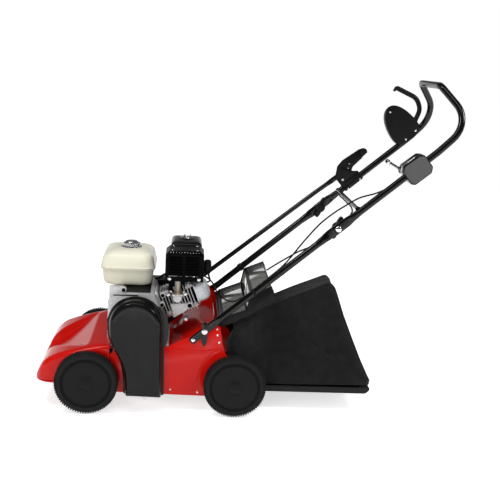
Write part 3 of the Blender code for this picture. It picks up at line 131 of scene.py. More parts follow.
class Wire:
    """A shader value whose Python operators add Math nodes to its material."""

    def __init__(self, net, socket):
        self.net = net
        self.socket = socket

    def math(self, operation, *values):
        return self.net.add("ShaderNodeMath", {"operation": operation}, dict(enumerate(values)))

    def __add__(self, other):
        return self.math("ADD", self, other)

    def __mul__(self, other):
        return self.math("MULTIPLY", self, other)

    __radd__ = __add__
    __rmul__ = __mul__

    def sine(self):
        return self.math("SINE", self)

    def ramp(self, low, high, to_low=0.0, to_high=1.0, shape="LINEAR"):
        """This value with low..high spread over to_low..to_high, and held there outside."""
        spread = {"Value": self, "From Min": low, "From Max": high, "To Min": to_low, "To Max": to_high}
        return self.net.add("ShaderNodeMapRange", {"clamp": True, "interpolation_type": shape}, spread)


class Net:
    """A node tree and the moves that build it."""

    def __init__(self, tree):
        self.tree = tree

    def add(self, kind, settings=None, sockets=None, output=0):
        """One node: its settings first, then the values or links of its sockets."""
        node = self.tree.nodes.new(kind)
        for key, value in (settings or {}).items():
            setattr(node, key, value)
        for key, value in (sockets or {}).items():
            self.feed(node.inputs[key], value)
        return Wire(self, node.outputs[output])

    def feed(self, socket, value):
        if isinstance(value, Wire):
            self.tree.links.new(value.socket, socket)
        else:
            socket.default_value = value

    def place(self):
        """The point on the object, in metres."""
        return self.add("ShaderNodeTexCoord", output="Object")

    def axes(self, vector):
        """The three parts of a vector."""
        return [self.add("ShaderNodeSeparateXYZ", None, {0: vector}, output=i) for i in range(3)]

    def speckle(self, scale, detail, vector=None):
        """Noise from 0 to 1 with so many lumps to a metre."""
        sockets = {"Vector": vector or self.place(), "Scale": scale, "Detail": detail}
        return self.add("ShaderNodeTexNoise", None, sockets)

    def blend(self, factor, first, second):
        """A colour between two colours."""
        return self.add(
            "ShaderNodeMix", {"data_type": "RGBA"}, {0: factor, 6: colour(first), 7: colour(second)}, output=2
        )

    def bump(self, height, distance, strength=1.0, under=None):
        sockets = {"Height": height, "Distance": distance, "Strength": strength}
        if under:
            sockets["Normal"] = under
        return self.add("ShaderNodeBump", None, sockets)


class Coating(Net):
    """The node tree of one material round its Principled BSDF."""

    def __init__(self, name, **fixed):
        self.material = bpy.data.materials.new(name)
        self.material.use_nodes = True
        super().__init__(self.material.node_tree)
        self.shader = self.tree.nodes["Principled BSDF"]
        self.show(**fixed)

    def show(self, **results):
        """Feed the shader's own sockets and give the material back."""
        for key, value in results.items():
            self.feed(self.shader.inputs[key.replace("_", " ")], value)
        return self.material


def colour(value):
    """A plain colour gets its alpha; a wire passes."""
    return value if isinstance(value, Wire) else (*value[:3], 1.0)


def darker(tint, share):
    return tuple(channel * share for channel in tint[:3])


def enamel(name, tint, rough=0.16, peel=0.35, coat=0.7, settled=0.1, shine=0.16):
    """Sprayed and baked paint: a clear gloss with orange peel, a little uneven, duller where handled."""
    net = Coating(name, Coat_Weight=coat, Coat_Roughness=0.04, Specular_IOR_Level=shine)
    cloud = net.speckle(9, 3)
    fleck = net.speckle(140, 4)
    tone = net.blend(cloud.ramp(0.35, 0.7), tint, darker(tint, 1 - settled))
    tone = net.blend(fleck.ramp(0.62, 0.8, 0, 0.25), tone, darker(tint, 0.75))
    gloss = cloud.ramp(0.3, 0.7, rough, rough * 1.7) + fleck.ramp(0.55, 0.8, 0, 0.06)
    skin = net.bump(net.speckle(420, 2), 0.0004, peel * 0.25)
    return net.show(Base_Color=tone, Roughness=gloss, Normal=skin)


def moulded(name, tint, rough=0.42, grain=1500, depth=0.00012, worn=0.03, shine=0.13):
    """Injection-moulded plastic: fine grain, uneven sheen and slightly greyed high spots."""
    net = Coating(name, Specular_IOR_Level=shine)
    cloud = net.speckle(14, 4)
    fine = net.speckle(grain, 3)
    tone = net.blend(cloud.ramp(0.42, 0.72), tint, tuple(c + (0.12 - c) * worn for c in tint[:3]))
    tone = net.blend(fine.ramp(0.55, 0.75, 0, 0.35), tone, darker(tint, 0.7))
    gloss = cloud.ramp(0.3, 0.7, rough * 0.88, rough * 1.15) + fine.ramp(0.4, 0.7, -0.03, 0.04)
    return net.show(Base_Color=tone, Roughness=gloss, Normal=net.bump(fine, depth, 0.5))


def rubber(name, tint, dust=(0.035, 0.033, 0.03)):
    """Tyre rubber: matt, pitted, with a breath of dust in its low places."""
    net = Coating(name, Specular_IOR_Level=0.14)
    cloud = net.speckle(26, 5)
    pits = net.speckle(900, 3)
    tone = net.blend(cloud.ramp(0.5, 0.8, 0, 0.45), tint, dust)
    tone = net.blend(pits.ramp(0.5, 0.72, 0, 0.5), tone, darker(tint, 0.55))
    gloss = cloud.ramp(0.3, 0.7, 0.62, 0.86)
    return net.show(Base_Color=tone, Roughness=gloss, Normal=net.bump(pits, 0.0002, 0.55))


def cast(name, tint, rough=0.42, blotch=0.35, metal=0.35):
    """Die-cast metal: sandy skin, blotches and grey film that gathers in patches."""
    net = Coating(name, Metallic=metal)
    sand = net.speckle(1100, 3)
    lump = net.speckle(210, 5)
    cloud = net.speckle(22, 4)
    tone = net.blend(cloud.ramp(0.38, 0.7, 0, blotch), tint, darker(tint, 0.52))
    tone = net.blend(lump.ramp(0.52, 0.74, 0, 0.45), tone, darker(tint, 0.7))
    gloss = lump.ramp(0.3, 0.7, rough - 0.07, rough + 0.12)
    skin = net.bump(sand, 0.00025, 0.5, net.bump(lump, 0.0006, 0.3))
    return net.show(Base_Color=tone, Roughness=gloss, Normal=skin)


def plated(name, tint, rough=0.2, brushed=0.4):
    """Zinc or chrome plate: bright, with fine lines and faint water marks."""
    net = Coating(name, Metallic=1.0)
    point = net.place()
    drawn = net.add("ShaderNodeMapping", None, {"Vector": point, "Scale": (1.0, 14.0, 1.0)})
    lines = net.speckle(520, 3, vector=drawn)
    cloud = net.speckle(60, 4)
    tone = net.blend(cloud.ramp(0.45, 0.75, 0, 0.5), tint, darker(tint, 0.72))
    gloss = cloud.ramp(0.35, 0.7, rough, rough + 0.12) + lines.ramp(0.3, 0.7, -0.02, 0.05)
    return net.show(Base_Color=tone, Roughness=gloss, Normal=net.bump(lines, 0.00008, brushed))


def heated(name, tint, hot):
    """Exhaust steel that heat has turned from grey to straw and brown."""
    net = Coating(name, Metallic=1.0)
    cloud = net.speckle(70, 4)
    grit = net.speckle(900, 3)
    height = net.axes(net.place())[2]
    tone = net.blend((height + cloud * 0.02).ramp(0.36, 0.43), hot, tint)
    tone = net.blend(grit.ramp(0.5, 0.75, 0, 0.4), tone, darker(tint, 0.5))
    gloss = cloud.ramp(0.3, 0.7, 0.34, 0.58)
    return net.show(Base_Color=tone, Roughness=gloss, Normal=net.bump(grit, 0.0002, 0.5))


def woven(name, tint, thread, pitch):
    """Plain-woven cloth on the piece's own flat coordinates, with painted light and shade on the weave,
    slubs, faded patches and a soft sheen.
    """
    net = Coating(name, Sheen_Weight=0.1, Sheen_Roughness=0.5, Specular_IOR_Level=0.15)
    flat = net.add("ShaderNodeUVMap", {"uv_map": "cloth"})
    across, along, _ = net.axes(flat)
    turns = math.tau / pitch
    warp = (across * turns).sine()
    weft = (along * turns).sine()
    cross = warp * weft
    slub = net.speckle(34, 5)
    cloud = net.speckle(7, 3)
    # The weave's crossings lean to the paler thread tone and the rest to a darker tone: painted light on the
    # thread crowns and painted shade between them.
    lit = net.blend(cross.ramp(-1, 1), darker(tint, 0.55), thread)
    tone = net.blend(slub.ramp(0.42, 0.72, 0, 0.45), lit, darker(tint, 0.5))
    tone = net.blend(cloud.ramp(0.4, 0.7, 0, 0.35), tone, thread)
    weave = net.bump(cross + slub * 0.6, pitch * 0.35, 0.6, net.bump(slub, 0.004, 0.18))
    return net.show(Base_Color=tone, Roughness=slub.ramp(0.3, 0.7, 0.72, 0.95), Normal=weave)


PAINTS = {
    "red_paint": lambda name: enamel(name, tint("red"), rough=0.1, coat=0.05),
    "black_paint": lambda name: enamel(name, tint("black"), rough=0.1, peel=0.4, coat=0.3, settled=0.0),
    "cream_paint": lambda name: enamel(name, tint("cream"), rough=0.18, peel=0.3, coat=0.25, settled=0.05),
    "black_metal": lambda name: enamel(
        name, darker(tint("black"), 0.4), rough=0.3, peel=0.8, coat=0.0, shine=0.04,
    ),
    "black_plastic": lambda name: moulded(name, tint("plastic"), rough=0.36),
    "glossy_plastic": lambda name: moulded(
        name, tint("plastic"), rough=0.13, grain=2200, depth=0.00002, shine=0.18,
    ),
    # A pale grey, far lighter than the flap's black plastic: painted reflection of the bright room on the
    # glossy treads.
    "flap_gloss": lambda name: enamel(
        name, (0.17, 0.168, 0.155), rough=0.08, peel=0.15, coat=1.0, settled=0.0, shine=0.6,
    ),
    "grey_plastic": lambda name: moulded(name, tint("box"), rough=0.5, grain=700, depth=0.0003),
    "tray_plastic": lambda name: moulded(name, darker(tint("plastic"), 2.2), rough=0.45, grain=900),
    "piping": lambda name: moulded(name, darker(tint("plastic"), 3.0), rough=0.5, grain=2000),
    "hub_plastic": lambda name: moulded(name, tint("hub"), rough=0.55, grain=900, depth=0.0002),
    "soft_grip": lambda name: moulded(name, tint("plastic"), rough=0.62, grain=1100, depth=0.00025),
    "tyre_rubber": lambda name: rubber(name, tint("tyre")),
    "belt_rubber": lambda name: rubber(name, tint("tyre")),
    "cable_plastic": lambda name: moulded(name, tint("plastic"), rough=0.34, grain=2600),
    "cast_aluminium": lambda name: cast(name, tint("cast")),
    "smooth_casting": lambda name: cast(name, (0.58, 0.61, 0.63), rough=0.3, blotch=0.08),
    "machined": lambda name: plated(name, tint("steel"), rough=0.24),
    "bright_steel": lambda name: plated(name, tint("steel")),
    "chrome": lambda name: plated(name, (0.86, 0.86, 0.87), rough=0.06, brushed=0.08),
    "exhaust_steel": lambda name: heated(name, (0.42, 0.4, 0.38), tint("hot")),
    "bag_cloth": lambda name: woven(
        name, tint("cloth"), darker(tint("cloth"), 2.1), bpy.context.scene.scarifier_sizes.weave,
    ),
}


def tint(name):
    """A colour from the sidebar's settings."""
    return tuple(getattr(bpy.context.scene.scarifier_colours, name))


def paint(name):
    """The named finish, made when first asked for, beside the frame's plain material of that name."""
    label = name + "_finish"
    if label not in bpy.data.materials:
        PAINTS[name](label)
    return bpy.data.materials[label]


def colour(value):
    """A plain colour gets its alpha; a wire passes."""
    return value if isinstance(value, Wire) else (*value[:3], 1.0)


def darker(tint, share):
    return tuple(channel * share for channel in tint[:3])


def linked(name, bm):
    """A scene object with the bmesh's shape."""
    mesh = bpy.data.meshes.new(name)
    bm.to_mesh(mesh)
    bm.free()
    holder = bpy.data.objects.new(name, mesh)
    bpy.context.scene.collection.objects.link(holder)
    return holder


def finish(name, bm, finish_name, node=None, sharp=35, body="chassis"):
    """Turn a bmesh into a named piece with its paint, riding on a body and standing for a CAD node."""
    bmesh.ops.remove_doubles(bm, verts=bm.verts, dist=1e-6)
    bmesh.ops.recalc_face_normals(bm, faces=bm.faces)
    piece = linked(name, bm)
    piece.data.materials.append(paint(finish_name))
    piece.data.shade_smooth()
    if sharp:
        piece.data.set_sharp_from_angle(angle=math.radians(sharp))
    if body:
        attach(piece, body)
    if node:
        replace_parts(piece, node)
    return piece


def merge(*shapes):
    """Several bmeshes in one, each staying a body of its own."""
    whole = bmesh.new()
    for shape in shapes:
        mesh = bpy.data.meshes.new("part")
        shape.to_mesh(mesh)
        shape.free()
        whole.from_mesh(mesh)
        bpy.data.meshes.remove(mesh)
    return whole


def carved(base, tool):
    """Base with the tool cut out of it."""
    for bm in (base, tool):
        bmesh.ops.recalc_face_normals(bm, faces=bm.faces)
    pair = [linked("carving", bm) for bm in (base, tool)]
    cutter = pair[0].modifiers.new("cut", "BOOLEAN")
    cutter.solver = "EXACT"
    cutter.object = pair[1]
    result = bmesh.new()
    result.from_mesh(pair[0].evaluated_get(bpy.context.evaluated_depsgraph_get()).to_mesh())
    for made in pair:
        bpy.data.meshes.remove(made.data)
    return result


def fresh(made, kind, key="geom"):
    """The vertices, edges or faces that an operation made."""
    return [item for item in made[key] if isinstance(item, kind)]


def moved(bm, vec, turn=None):
    """A shape turned about the origin and then moved."""
    if turn is not None:
        bmesh.ops.rotate(bm, verts=bm.verts, cent=(0, 0, 0), matrix=turn)
    bmesh.ops.translate(bm, verts=bm.verts, vec=vec)
    return bm


def facing(direction):
    """The turn from +Y to a direction."""
    return Vector((0, 1, 0)).rotation_difference(Vector(direction).normalized()).to_matrix()


def outward(bm, upward=False):
    """Faces turned to the outside, or to the sky for an open sheet."""
    bmesh.ops.recalc_face_normals(bm, faces=bm.faces)
    if upward and sum(face.normal.z for face in bm.faces) < 0:
        bmesh.ops.reverse_faces(bm, faces=bm.faces)
    return bm


def turned(profile, centre, steps=48, axis="Y", phase=0.0):
    """An open or closed (radius, height) profile spun about an axis through the centre."""
    bm = bmesh.new()
    verts = [bm.verts.new((radius, height, 0)) for radius, height in profile]
    edges = [bm.edges.new(pair) for pair in zip(verts, verts[1:])]
    bmesh.ops.spin(
        bm, geom=verts + edges, cent=(0, 0, 0), axis=(0, 1, 0), dvec=(0, 0, 0), angle=math.tau, steps=steps,
        use_merge=True, use_normal_flip=False,
    )
    bmesh.ops.remove_doubles(bm, verts=bm.verts, dist=1e-6)
    quarter = {"Y": (0, "Y"), "Z": (math.pi / 2, "X"), "X": (-math.pi / 2, "Z")}
    way = Matrix.Rotation(quarter[axis][0], 3, quarter[axis][1]) if axis in ("X", "Y", "Z") else facing(axis)
    return outward(moved(bm, centre, way @ Matrix.Rotation(phase, 3, "Y")))


def arc_at(corner, before, after, radius, steps):
    """The arc that takes a corner's place between the two ways out of it."""
    before, after = before.normalized(), after.normalized()
    half = before.angle(after) / 2
    reach = radius / math.tan(half)
    centre = corner + (before + after).normalized() * (radius / math.sin(half))
    start, end = ((corner + way * reach - centre).normalized() for way in (before, after))
    return [centre + start.slerp(end, step / steps) * radius for step in range(steps + 1)]


def rounded(outline, radius, steps=4):
    """The outline with its corners turned into arcs; radius is one value or one for each corner."""
    radii = radius if isinstance(radius, (list, tuple)) else [radius] * len(outline)
    points = [Vector(p) for p in outline]
    result = []
    for index, corner in enumerate(points):
        before = points[index - 1] - corner
        after = points[(index + 1) % len(points)] - corner
        if radii[index] <= 0 or before.angle(after) > 3.1:
            result.append(tuple(corner))
        else:
            result += [tuple(p) for p in arc_at(corner, before, after, radii[index], steps)]
    return result


def bent_path(corners, radii, steps=8):
    """A path through corners with each inner corner turned into an arc."""
    path = [corners[0]]
    for last, corner, following, radius in zip(corners, corners[1:], corners[2:], radii):
        path += arc_at(corner, last - corner, following - corner, radius, steps)
    return path + [corners[-1]]


def rounded_line(points, radius):
    """An open (x, z) line with its inner corners turned into arcs."""
    path = bent_path([Vector((x, 0, z)) for x, z in points], [radius] * (len(points) - 2), 3)
    return [(p.x, p.z) for p in path]


def curve_point(points, t):
    """A place on the smooth curve from the second to the third of four points."""
    p0, p1, p2, p3 = points
    return 0.5 * (2 * p1 + (p2 - p0) * t + (2 * p0 - 5 * p1 + 4 * p2 - p3) * t * t
                  + (3 * p1 - p0 - 3 * p2 + p3) * t ** 3)


def smooth_path(points, spacing):
    """Points at about even steps on a smooth curve through the given points."""
    dense = []
    last = len(points) - 1
    for index in range(last):
        near = [points[min(max(index + k, 0), last)] for k in (-1, 0, 1, 2)]
        count = max(1, round((near[2] - near[1]).length / spacing))
        dense += [curve_point(near, step / count) for step in range(count)]
    return dense + [points[-1]]


def smooth_loop(points, steps=8):
    """A closed smooth outline through (x, z) points."""
    spots = [Vector(p) for p in points]
    rings = [[spots[(index + k) % len(spots)] for k in (-1, 0, 1, 2)] for index in range(len(spots))]
    return [tuple(curve_point(near, step / steps)) for near in rings for step in range(steps)]


def soften(bm, edges, width, segments=2):
    bmesh.ops.bevel(
        bm, geom=edges, offset=width, segments=segments, profile=0.5, affect="EDGES", material=-1,
        clamp_overlap=True,
    )


def edges_along(bm, axis, least=0.0, most=math.inf):
    """The edges whose length along an axis lies between two limits."""
    return [e for e in bm.edges if least <= abs(e.verts[0].co[axis] - e.verts[1].co[axis]) <= most]


def prism(outline, y0, y1, bevel=0.0, segments=2):
    """An (x, z) outline extruded across the machine, with softened rims."""
    bm = bmesh.new()
    face = bm.faces.new([bm.verts.new(at(x, y0, z)) for x, z in outline])
    grown = bmesh.ops.extrude_face_region(bm, geom=[face])
    bmesh.ops.translate(bm, verts=fresh(grown, bmesh.types.BMVert), vec=(0, y1 - y0, 0))
    outward(bm)
    if bevel:
        soften(bm, edges_along(bm, 1, most=1e-7), bevel, segments)
    return bm


def cuboid(size, bevel=0.0, segments=2, place=(0, 0, 0)):
    """A box round a place with soft edges."""
    bm = bmesh.new()
    bmesh.ops.create_cube(bm, size=1)
    bmesh.ops.scale(bm, verts=bm.verts, vec=size)
    moved(bm, place)
    if bevel:
        soften(bm, bm.edges[:], bevel, segments)
    return bm


def block(low, high, bevel=0.0, segments=2):
    """A box between two corners (x from the front axle), with rounded edges."""
    low, high = at(*low), at(*high)
    return cuboid(high - low, bevel, segments, (low + high) / 2)


def ring(bm, centre, across_axis, thick_axis, across, thick, sides):
    """One elliptic loop of vertices; its edges come back."""
    normal = across_axis.cross(thick_axis)
    frame_matrix = Matrix((across_axis * across, thick_axis * thick, normal)).transposed().to_4x4()
    frame_matrix.translation = centre
    made = bmesh.ops.create_circle(bm, cap_ends=False, radius=1, segments=sides, matrix=frame_matrix)
    return list(dict.fromkeys(e for v in made["verts"] for e in v.link_edges))


def skinned(bm, loops):
    """Loops of edges bridged in their order and closed at both ends."""
    for first, second in zip(loops, loops[1:]):
        bmesh.ops.bridge_loops(bm, edges=first + second)
    bmesh.ops.holes_fill(bm, edges=loops[0] + loops[-1], sides=0)
    return outward(bm)


def sweep(points, across, thick=None, sides=16, thick_axis=(0, 1, 0)):
    """A round or flattened bar along a path; the sizes are one value or one for each point."""
    across = across if isinstance(across, (list, tuple)) else [across] * len(points)
    thick = thick if thick is not None else across
    thick = thick if isinstance(thick, (list, tuple)) else [thick] * len(points)
    bm = bmesh.new()
    held, previous, loops = Vector(thick_axis), None, []
    for index, point in enumerate(points):
        ahead, behind = points[min(index + 1, len(points) - 1)], points[max(index - 1, 0)]
        tangent = (ahead - behind).normalized()
        if previous is not None:
            held = previous.rotation_difference(tangent) @ held
        held = (held - tangent * held.dot(tangent)).normalized()
        loops.append(ring(bm, point, tangent.cross(held), held, across[index], thick[index], sides))
        previous = tangent
    return skinned(bm, loops)


def bar(stations, sides=28):
    """A bar through stations of a place, its width and its depth across the machine."""
    points, across, thick = zip(*stations)
    return sweep(list(points), list(across), list(thick), sides)


def loft(loops_of_points):
    """A solid skinned over closed loops with equal numbers of points, flat at both ends."""
    bm = bmesh.new()
    loops = []
    for loop in loops_of_points:
        verts = [bm.verts.new(p) for p in loop]
        loops.append([bm.edges.new((verts[i - 1], verts[i])) for i in range(len(verts))])
    return skinned(bm, loops)


def bolt(place, direction, radius=0.0055, height=0.004, washer=True, phase=0.0):
    """A bolt head standing on a place, with its washer, a chamfer and a shallow dish."""
    head = [
        (0, 0), (radius, 0), (radius, height * 0.78), (radius * 0.86, height), (radius * 0.55, height),
        (radius * 0.42, height * 0.86), (0, height * 0.86),
    ]
    lift = radius * 0.22 if washer else 0.0
    disc = [(0, 0), (radius * 1.45, 0), (radius * 1.45, lift * 0.7), (radius * 1.35, lift), (0, lift)]
    shapes = [turned(head, (0, 0, 0), 6, phase=phase)]
    if washer:
        shapes.append(turned(disc, (0, -lift, 0), 24))
    return moved(moved(merge(*shapes), (0, lift, 0)), place, facing(direction))


def screw(place, direction, radius=0.0045, height=0.002):
    """A pan-head screw with a sunk recess in its top."""
    dome = [(radius * math.cos(a), height * math.sin(a)) for a in (0.0, 0.5, 0.9, 1.25)] + [(0, height)]
    bm = turned([(0, 0), (radius, 0)] + dome, (0, 0, 0), 20)
    top = [f for f in bm.faces if f.calc_center_median().y > height * 0.9]
    bmesh.ops.inset_region(bm, faces=top, thickness=radius * 0.08, depth=-height * 0.3)
    return moved(bm, place, facing(direction))


def add_wall(piece, thickness):
    """Sheet thickness grown inwards from the piece's face."""
    wall = piece.modifiers.new("wall", "SOLIDIFY")
    wall.thickness = thickness
    wall.offset = -1.0


def tube_ways(lower=False):
    """Directions along a handle tube from the fold and square above it."""
    run = (Vector(HANDLE_FOOT if lower else UPPER_LEG_END) - Vector(FOLD_PIVOT)).normalized()
    return run, Vector((-run.y, run.x)) * (-1 if lower else 1)


def on_handle(distance, above=0.0, y=TUBE_Y, lower=False):
    """A point so far along a handle tube from the fold's pivot, and above its centre line."""
    run, up = tube_ways(lower)
    place = Vector(FOLD_PIVOT) + run * distance + up * above
    return at(place.x, y, place.y)


def ease(value):
    """0..1 with soft ends."""
    value = min(1.0, max(0.0, value))
    return value * value * (3 - 2 * value)


def round_copies(bm, count):
    """Copies of all that is in the bmesh, spaced evenly round the Y axis."""
    bmesh.ops.spin(
        bm, geom=bm.verts[:] + bm.edges[:] + bm.faces[:], cent=(0, 0, 0), axis=(0, 1, 0), dvec=(0, 0, 0),
        angle=math.tau * (count - 1) / count, steps=count - 1, use_duplicate=True,
    )
    return bm


def tyre_lugs(centre, side, count, shift):
    """One row of tread blocks that reach over the shoulder and down the tyre's side."""
    bm = bmesh.new()
    reach = WHEEL_RADIUS - 0.0009
    block_line = [
        (0.0925, 0.0015), (reach, 0.0022), (reach, 0.015), (reach - 0.0022, 0.0188), (reach - 0.0085, 0.0209),
        (0.0862, 0.0209), (0.0856, 0.018),
    ]
    face = bm.faces.new([bm.verts.new((r, y * side, 0)) for r, y in block_line])
    made = bmesh.ops.spin(
        bm, geom=[face], cent=(0, 0, 0), axis=(0, 1, 0), dvec=(0, 0, 0), angle=math.tau / count * 0.5,
        steps=1, use_duplicate=False,
    )
    ends = [face] + fresh(made, bmesh.types.BMFace, "geom_last")
    soften(bm, list(dict.fromkeys(e for f in ends for e in f.edges)), 0.0005, 1)
    moved(bm, (0, 0, 0), Matrix.Rotation(shift * math.tau / count, 3, "Y"))
    return moved(round_copies(bm, count), centre)


def tyre_body(centre):
    """The tyre's casing: bead, bulged side with two moulded rings, shoulder and tread floor."""
    half = [
        (0.0792, 0.0165), (0.08, 0.0186), (0.0812, 0.0196), (0.0818, 0.0203), (0.0826, 0.0203),
        (0.0832, 0.0198), (0.0848, 0.0204), (0.0866, 0.0198), (0.09, 0.0188), (0.0925, 0.0174),
        (0.0943, 0.0152), (0.0952, 0.011), (0.0955, 0.005),
    ]
    profile = [(r, -y) for r, y in half] + [(r, y) for r, y in reversed(half)] + [(half[0][0], -half[0][1])]
    return turned(profile, centre, 120)


def wheel_disc(centre, side):
    """The hub's face: rolled rim, groove, shallow dish, inner ring and centre button, over ribs behind."""
    closed = [
        (0.0086, -0.02), (0.0175, -0.02), (0.018, -0.019), (0.018, 0.005), (0.024, 0.0085), (0.065, 0.008),
        (0.0668, 0.006), (0.068, -0.014), (0.069, -0.015), (0.0778, -0.015), (0.0786, -0.0135),
        (0.0786, 0.015), (0.078, 0.0164), (0.0768, 0.0171), (0.0755, 0.017), (0.0747, 0.016),
        (0.0742, 0.0146), (0.073, 0.0144), (0.0722, 0.0155), (0.0712, 0.0163), (0.069, 0.0166),
        (0.05, 0.0158), (0.03, 0.0156), (0.0262, 0.0157), (0.0256, 0.0166), (0.0244, 0.0166),
        (0.0238, 0.0157), (0.0165, 0.016), (0.015, 0.0168), (0.0138, 0.0178), (0.0125, 0.0183),
        (0.006, 0.0187), (0.0052, 0.018), (0.0, 0.0179), (0.0, 0.0125), (0.0086, 0.0125), (0.0086, -0.02),
    ]
    disc = turned([(r, y * side) for r, y in closed], centre, 96)
    rib = cuboid((0.049, 0.02, 0.0022), place=(0.0425, -0.003 * side, 0))
    return merge(disc, moved(round_copies(rib, 8), centre))


class SCARIFIER_OT_wheels(bpy.types.Operator):
    """Build the four lugged tyres and their moulded hubs"""
    bl_idname = "scarifier.wheels"
    bl_label = "Wheels"

    def execute(self, context):
        count = context.scene.scarifier_sizes.tyre_lugs
        for end in ("front", "rear"):
            for side, sign in SIDES:
                corner = f"{end}_{side}"
                low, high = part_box(f"{corner}_tyre")
                centre = (low + high) / 2
                centre.z = AXLE.z
                rows = [tyre_lugs(centre, edge, count, shift) for edge, shift in ((1, 0.1), (-1, 0.6))]
                for name, shape, look, node, sharp in (
                    ("tyre_tread", merge(tyre_body(centre), *rows), "tyre_rubber", "tyre", 40),
                    ("hub_disc", wheel_disc(centre, sign), "hub_plastic", "hub", 32),
                ):
                    finish(f"{corner}_{name}", shape, look, f"{corner}_{node}", sharp, f"{corner}_wheel")
        return {"FINISHED"}


HOOD_NOSE = -0.166
HOOD_FOOT = 0.084
HOOD_BACK = 0.068
CROWN = [
    (HOOD_NOSE, 0.096), (-0.16, 0.112), (-0.151, 0.131), (-0.141, 0.146), (-0.12, 0.163), (-0.0885, 0.1765),
    (-0.053, 0.188), (0.0, 0.2015), (0.05, 0.21),
]


def crown_height(x):
    """Height of the fenders' ridge, on a smooth curve through its measured points."""
    last = len(CROWN) - 1
    index = next((i for i in range(last) if x <= CROWN[i + 1][0]), last - 1)
    (x0, z0), (x1, z1), (x2, z2), (x3, z3) = (CROWN[min(max(index + k, 0), last)] for k in (-1, 0, 1, 2))
    run = x2 - x1
    t = min(1.0, max(0.0, (x - x1) / run))
    lead = (z2 - z0) / (x2 - x0) * run
    tail = (z3 - z1) / (x3 - x1) * run
    return (
        z1 * (2 * t ** 3 - 3 * t * t + 1) + lead * (t ** 3 - 2 * t * t + t) + z2 * (3 * t * t - 2 * t ** 3)
        + tail * (t ** 3 - t * t)
    )


def hood_half_width(x):
    reach = min(1.0, (x - HOOD_NOSE) / 0.06)
    return 0.166 + 0.0515 * math.sqrt(max(0.0, 1 - (1 - reach) ** 2))


def hood_height(x, y):
    """The pressed cover: a flat wedge panel let in between two fender bulges."""
    crown = crown_height(x)
    panel = min(0.203 + 0.575 * x, crown + 0.0015)
    half = max(0.028, 0.16 + 0.867 * x)
    return panel + (crown - panel) * ease((abs(y) - half) / 0.042)


def hood_shell():
    """A grid laid over the pressing, with its front and side walls pulled down from the rim."""
    bm = bmesh.new()
    bmesh.ops.create_grid(bm, x_segments=72, y_segments=120, size=1)
    for vert in bm.verts:
        t, c = (vert.co.x + 1) / 2, vert.co.y
        x = HOOD_NOSE + (HOOD_BACK - HOOD_NOSE) * t ** 1.6
        c = math.copysign(1 - (1 - abs(c)) ** 1.35, c)
        half = hood_half_width(x)
        top = hood_height(x, c * half)
        edge = max(0.0, (abs(c) - 0.9) / 0.1)
        drop = min(0.015, (top - HOOD_FOOT) / 3) * (1 - math.sqrt(max(0.0, 1 - edge * edge)))
        vert.co = at(x, c * half, top - drop)
    back = at(HOOD_BACK, 0, 0).x
    rim = [e for e in bm.edges if e.is_boundary and not all(v.co.x > back - 1e-4 for v in e.verts)]
    for share in (0.35, 0.5385, 1.0):
        grown = bmesh.ops.extrude_edge_only(bm, edges=rim)
        rim = fresh(grown, bmesh.types.BMEdge)
        for vert in fresh(grown, bmesh.types.BMVert):
            foot = HOOD_FOOT + (0.146 - HOOD_FOOT) * ease((vert.co.x - FRONT_AXLE_X + 0.1) / 0.022)
            vert.co.z += (min(foot, vert.co.z) - vert.co.z) * share
    bmesh.ops.remove_doubles(bm, verts=bm.verts, dist=1e-5)
    return outward(bm, upward=True)


def hood_hem():
    """The rolled lower rim round the nose."""
    sides = []
    for step in range(-20, 21):
        x = HOOD_NOSE + 0.06 * (1 - math.cos(step / 20 * math.pi / 2))
        half = hood_half_width(x)
        if step and half > 0.1:
            sides.append(at(x + 0.0023, math.copysign(half, step), HOOD_FOOT + 0.001))
    middle = [at(HOOD_NOSE + 0.0023, y, HOOD_FOOT + 0.001) for y in (-0.12, -0.06, 0.0, 0.06, 0.12)]
    return sweep(sides[:20] + middle + sides[20:], 0.0022, 0.0022, 10, (0, 0, 1))


def side_plate(sign):
    """Pressed side sheet: soft rims, wheel arch swages and a brace; the right one is taller at its rear."""
    rear = [(0.4, 0.283)] if sign < 0 else [(0.394, 0.2945), (0.383, 0.312), (0.364, 0.312)]
    outline = [
        (-0.08, 0.095), (-0.03, 0.062), (0.121, 0.055), (0.368, 0.05), (0.45, 0.055), (0.492, 0.08),
        (0.492, 0.118), (0.434, 0.194), (0.423, 0.226), (0.413, 0.283), *rear, (0.352, 0.262), (0.272, 0.225),
        (0.25, 0.2115), (0.046, 0.181), (-0.03, 0.15), (-0.08, 0.122),
    ]
    face = sign * PLATE_Y
    shapes = [prism(rounded(outline, 0.006, 4), face - sign * 0.003, face, 0.0009, 2)]
    for line, wide, sunk in (
        ([polar((WHEELBASE, AXLE.z), 0.121, a) for a in range(112, 181, 4)], 0.0032, 0.0002),
        ([polar((0.0, AXLE.z), 0.1235, a) for a in range(-14, 47, 4)], 0.003, 0.0002),
        ([(0.262, 0.2), (0.3, 0.2015), (0.345, 0.199), (0.402, 0.207)], 0.0026, 0.0003),
    ):
        shapes.append(sweep([at(x, face - sign * sunk, z) for x, z in line], wide, wide / 2, 12))
    return merge(*shapes)


def plate_fasteners(sign):
    """Screws and bolt heads that show on a side plate."""
    face = sign * PLATE_Y
    out = (0, sign, 0)
    shapes = [
        bolt(at(x, face, z), out, radius, height, False, phase)
        for x, z, radius, height, phase in (
            (0.4055, 0.2545, 0.0032, 0.0022, 0), (0.412, 0.23, 0.0032, 0.0022, 0),
            (0.404, 0.274, 0.0028, 0.002, 0.4),
        )
    ]
    shapes += [screw(at(x, face, z), out, 0.0036) for x, z in ((0.262, 0.07), (0.35, 0.062))]
    return merge(*shapes)


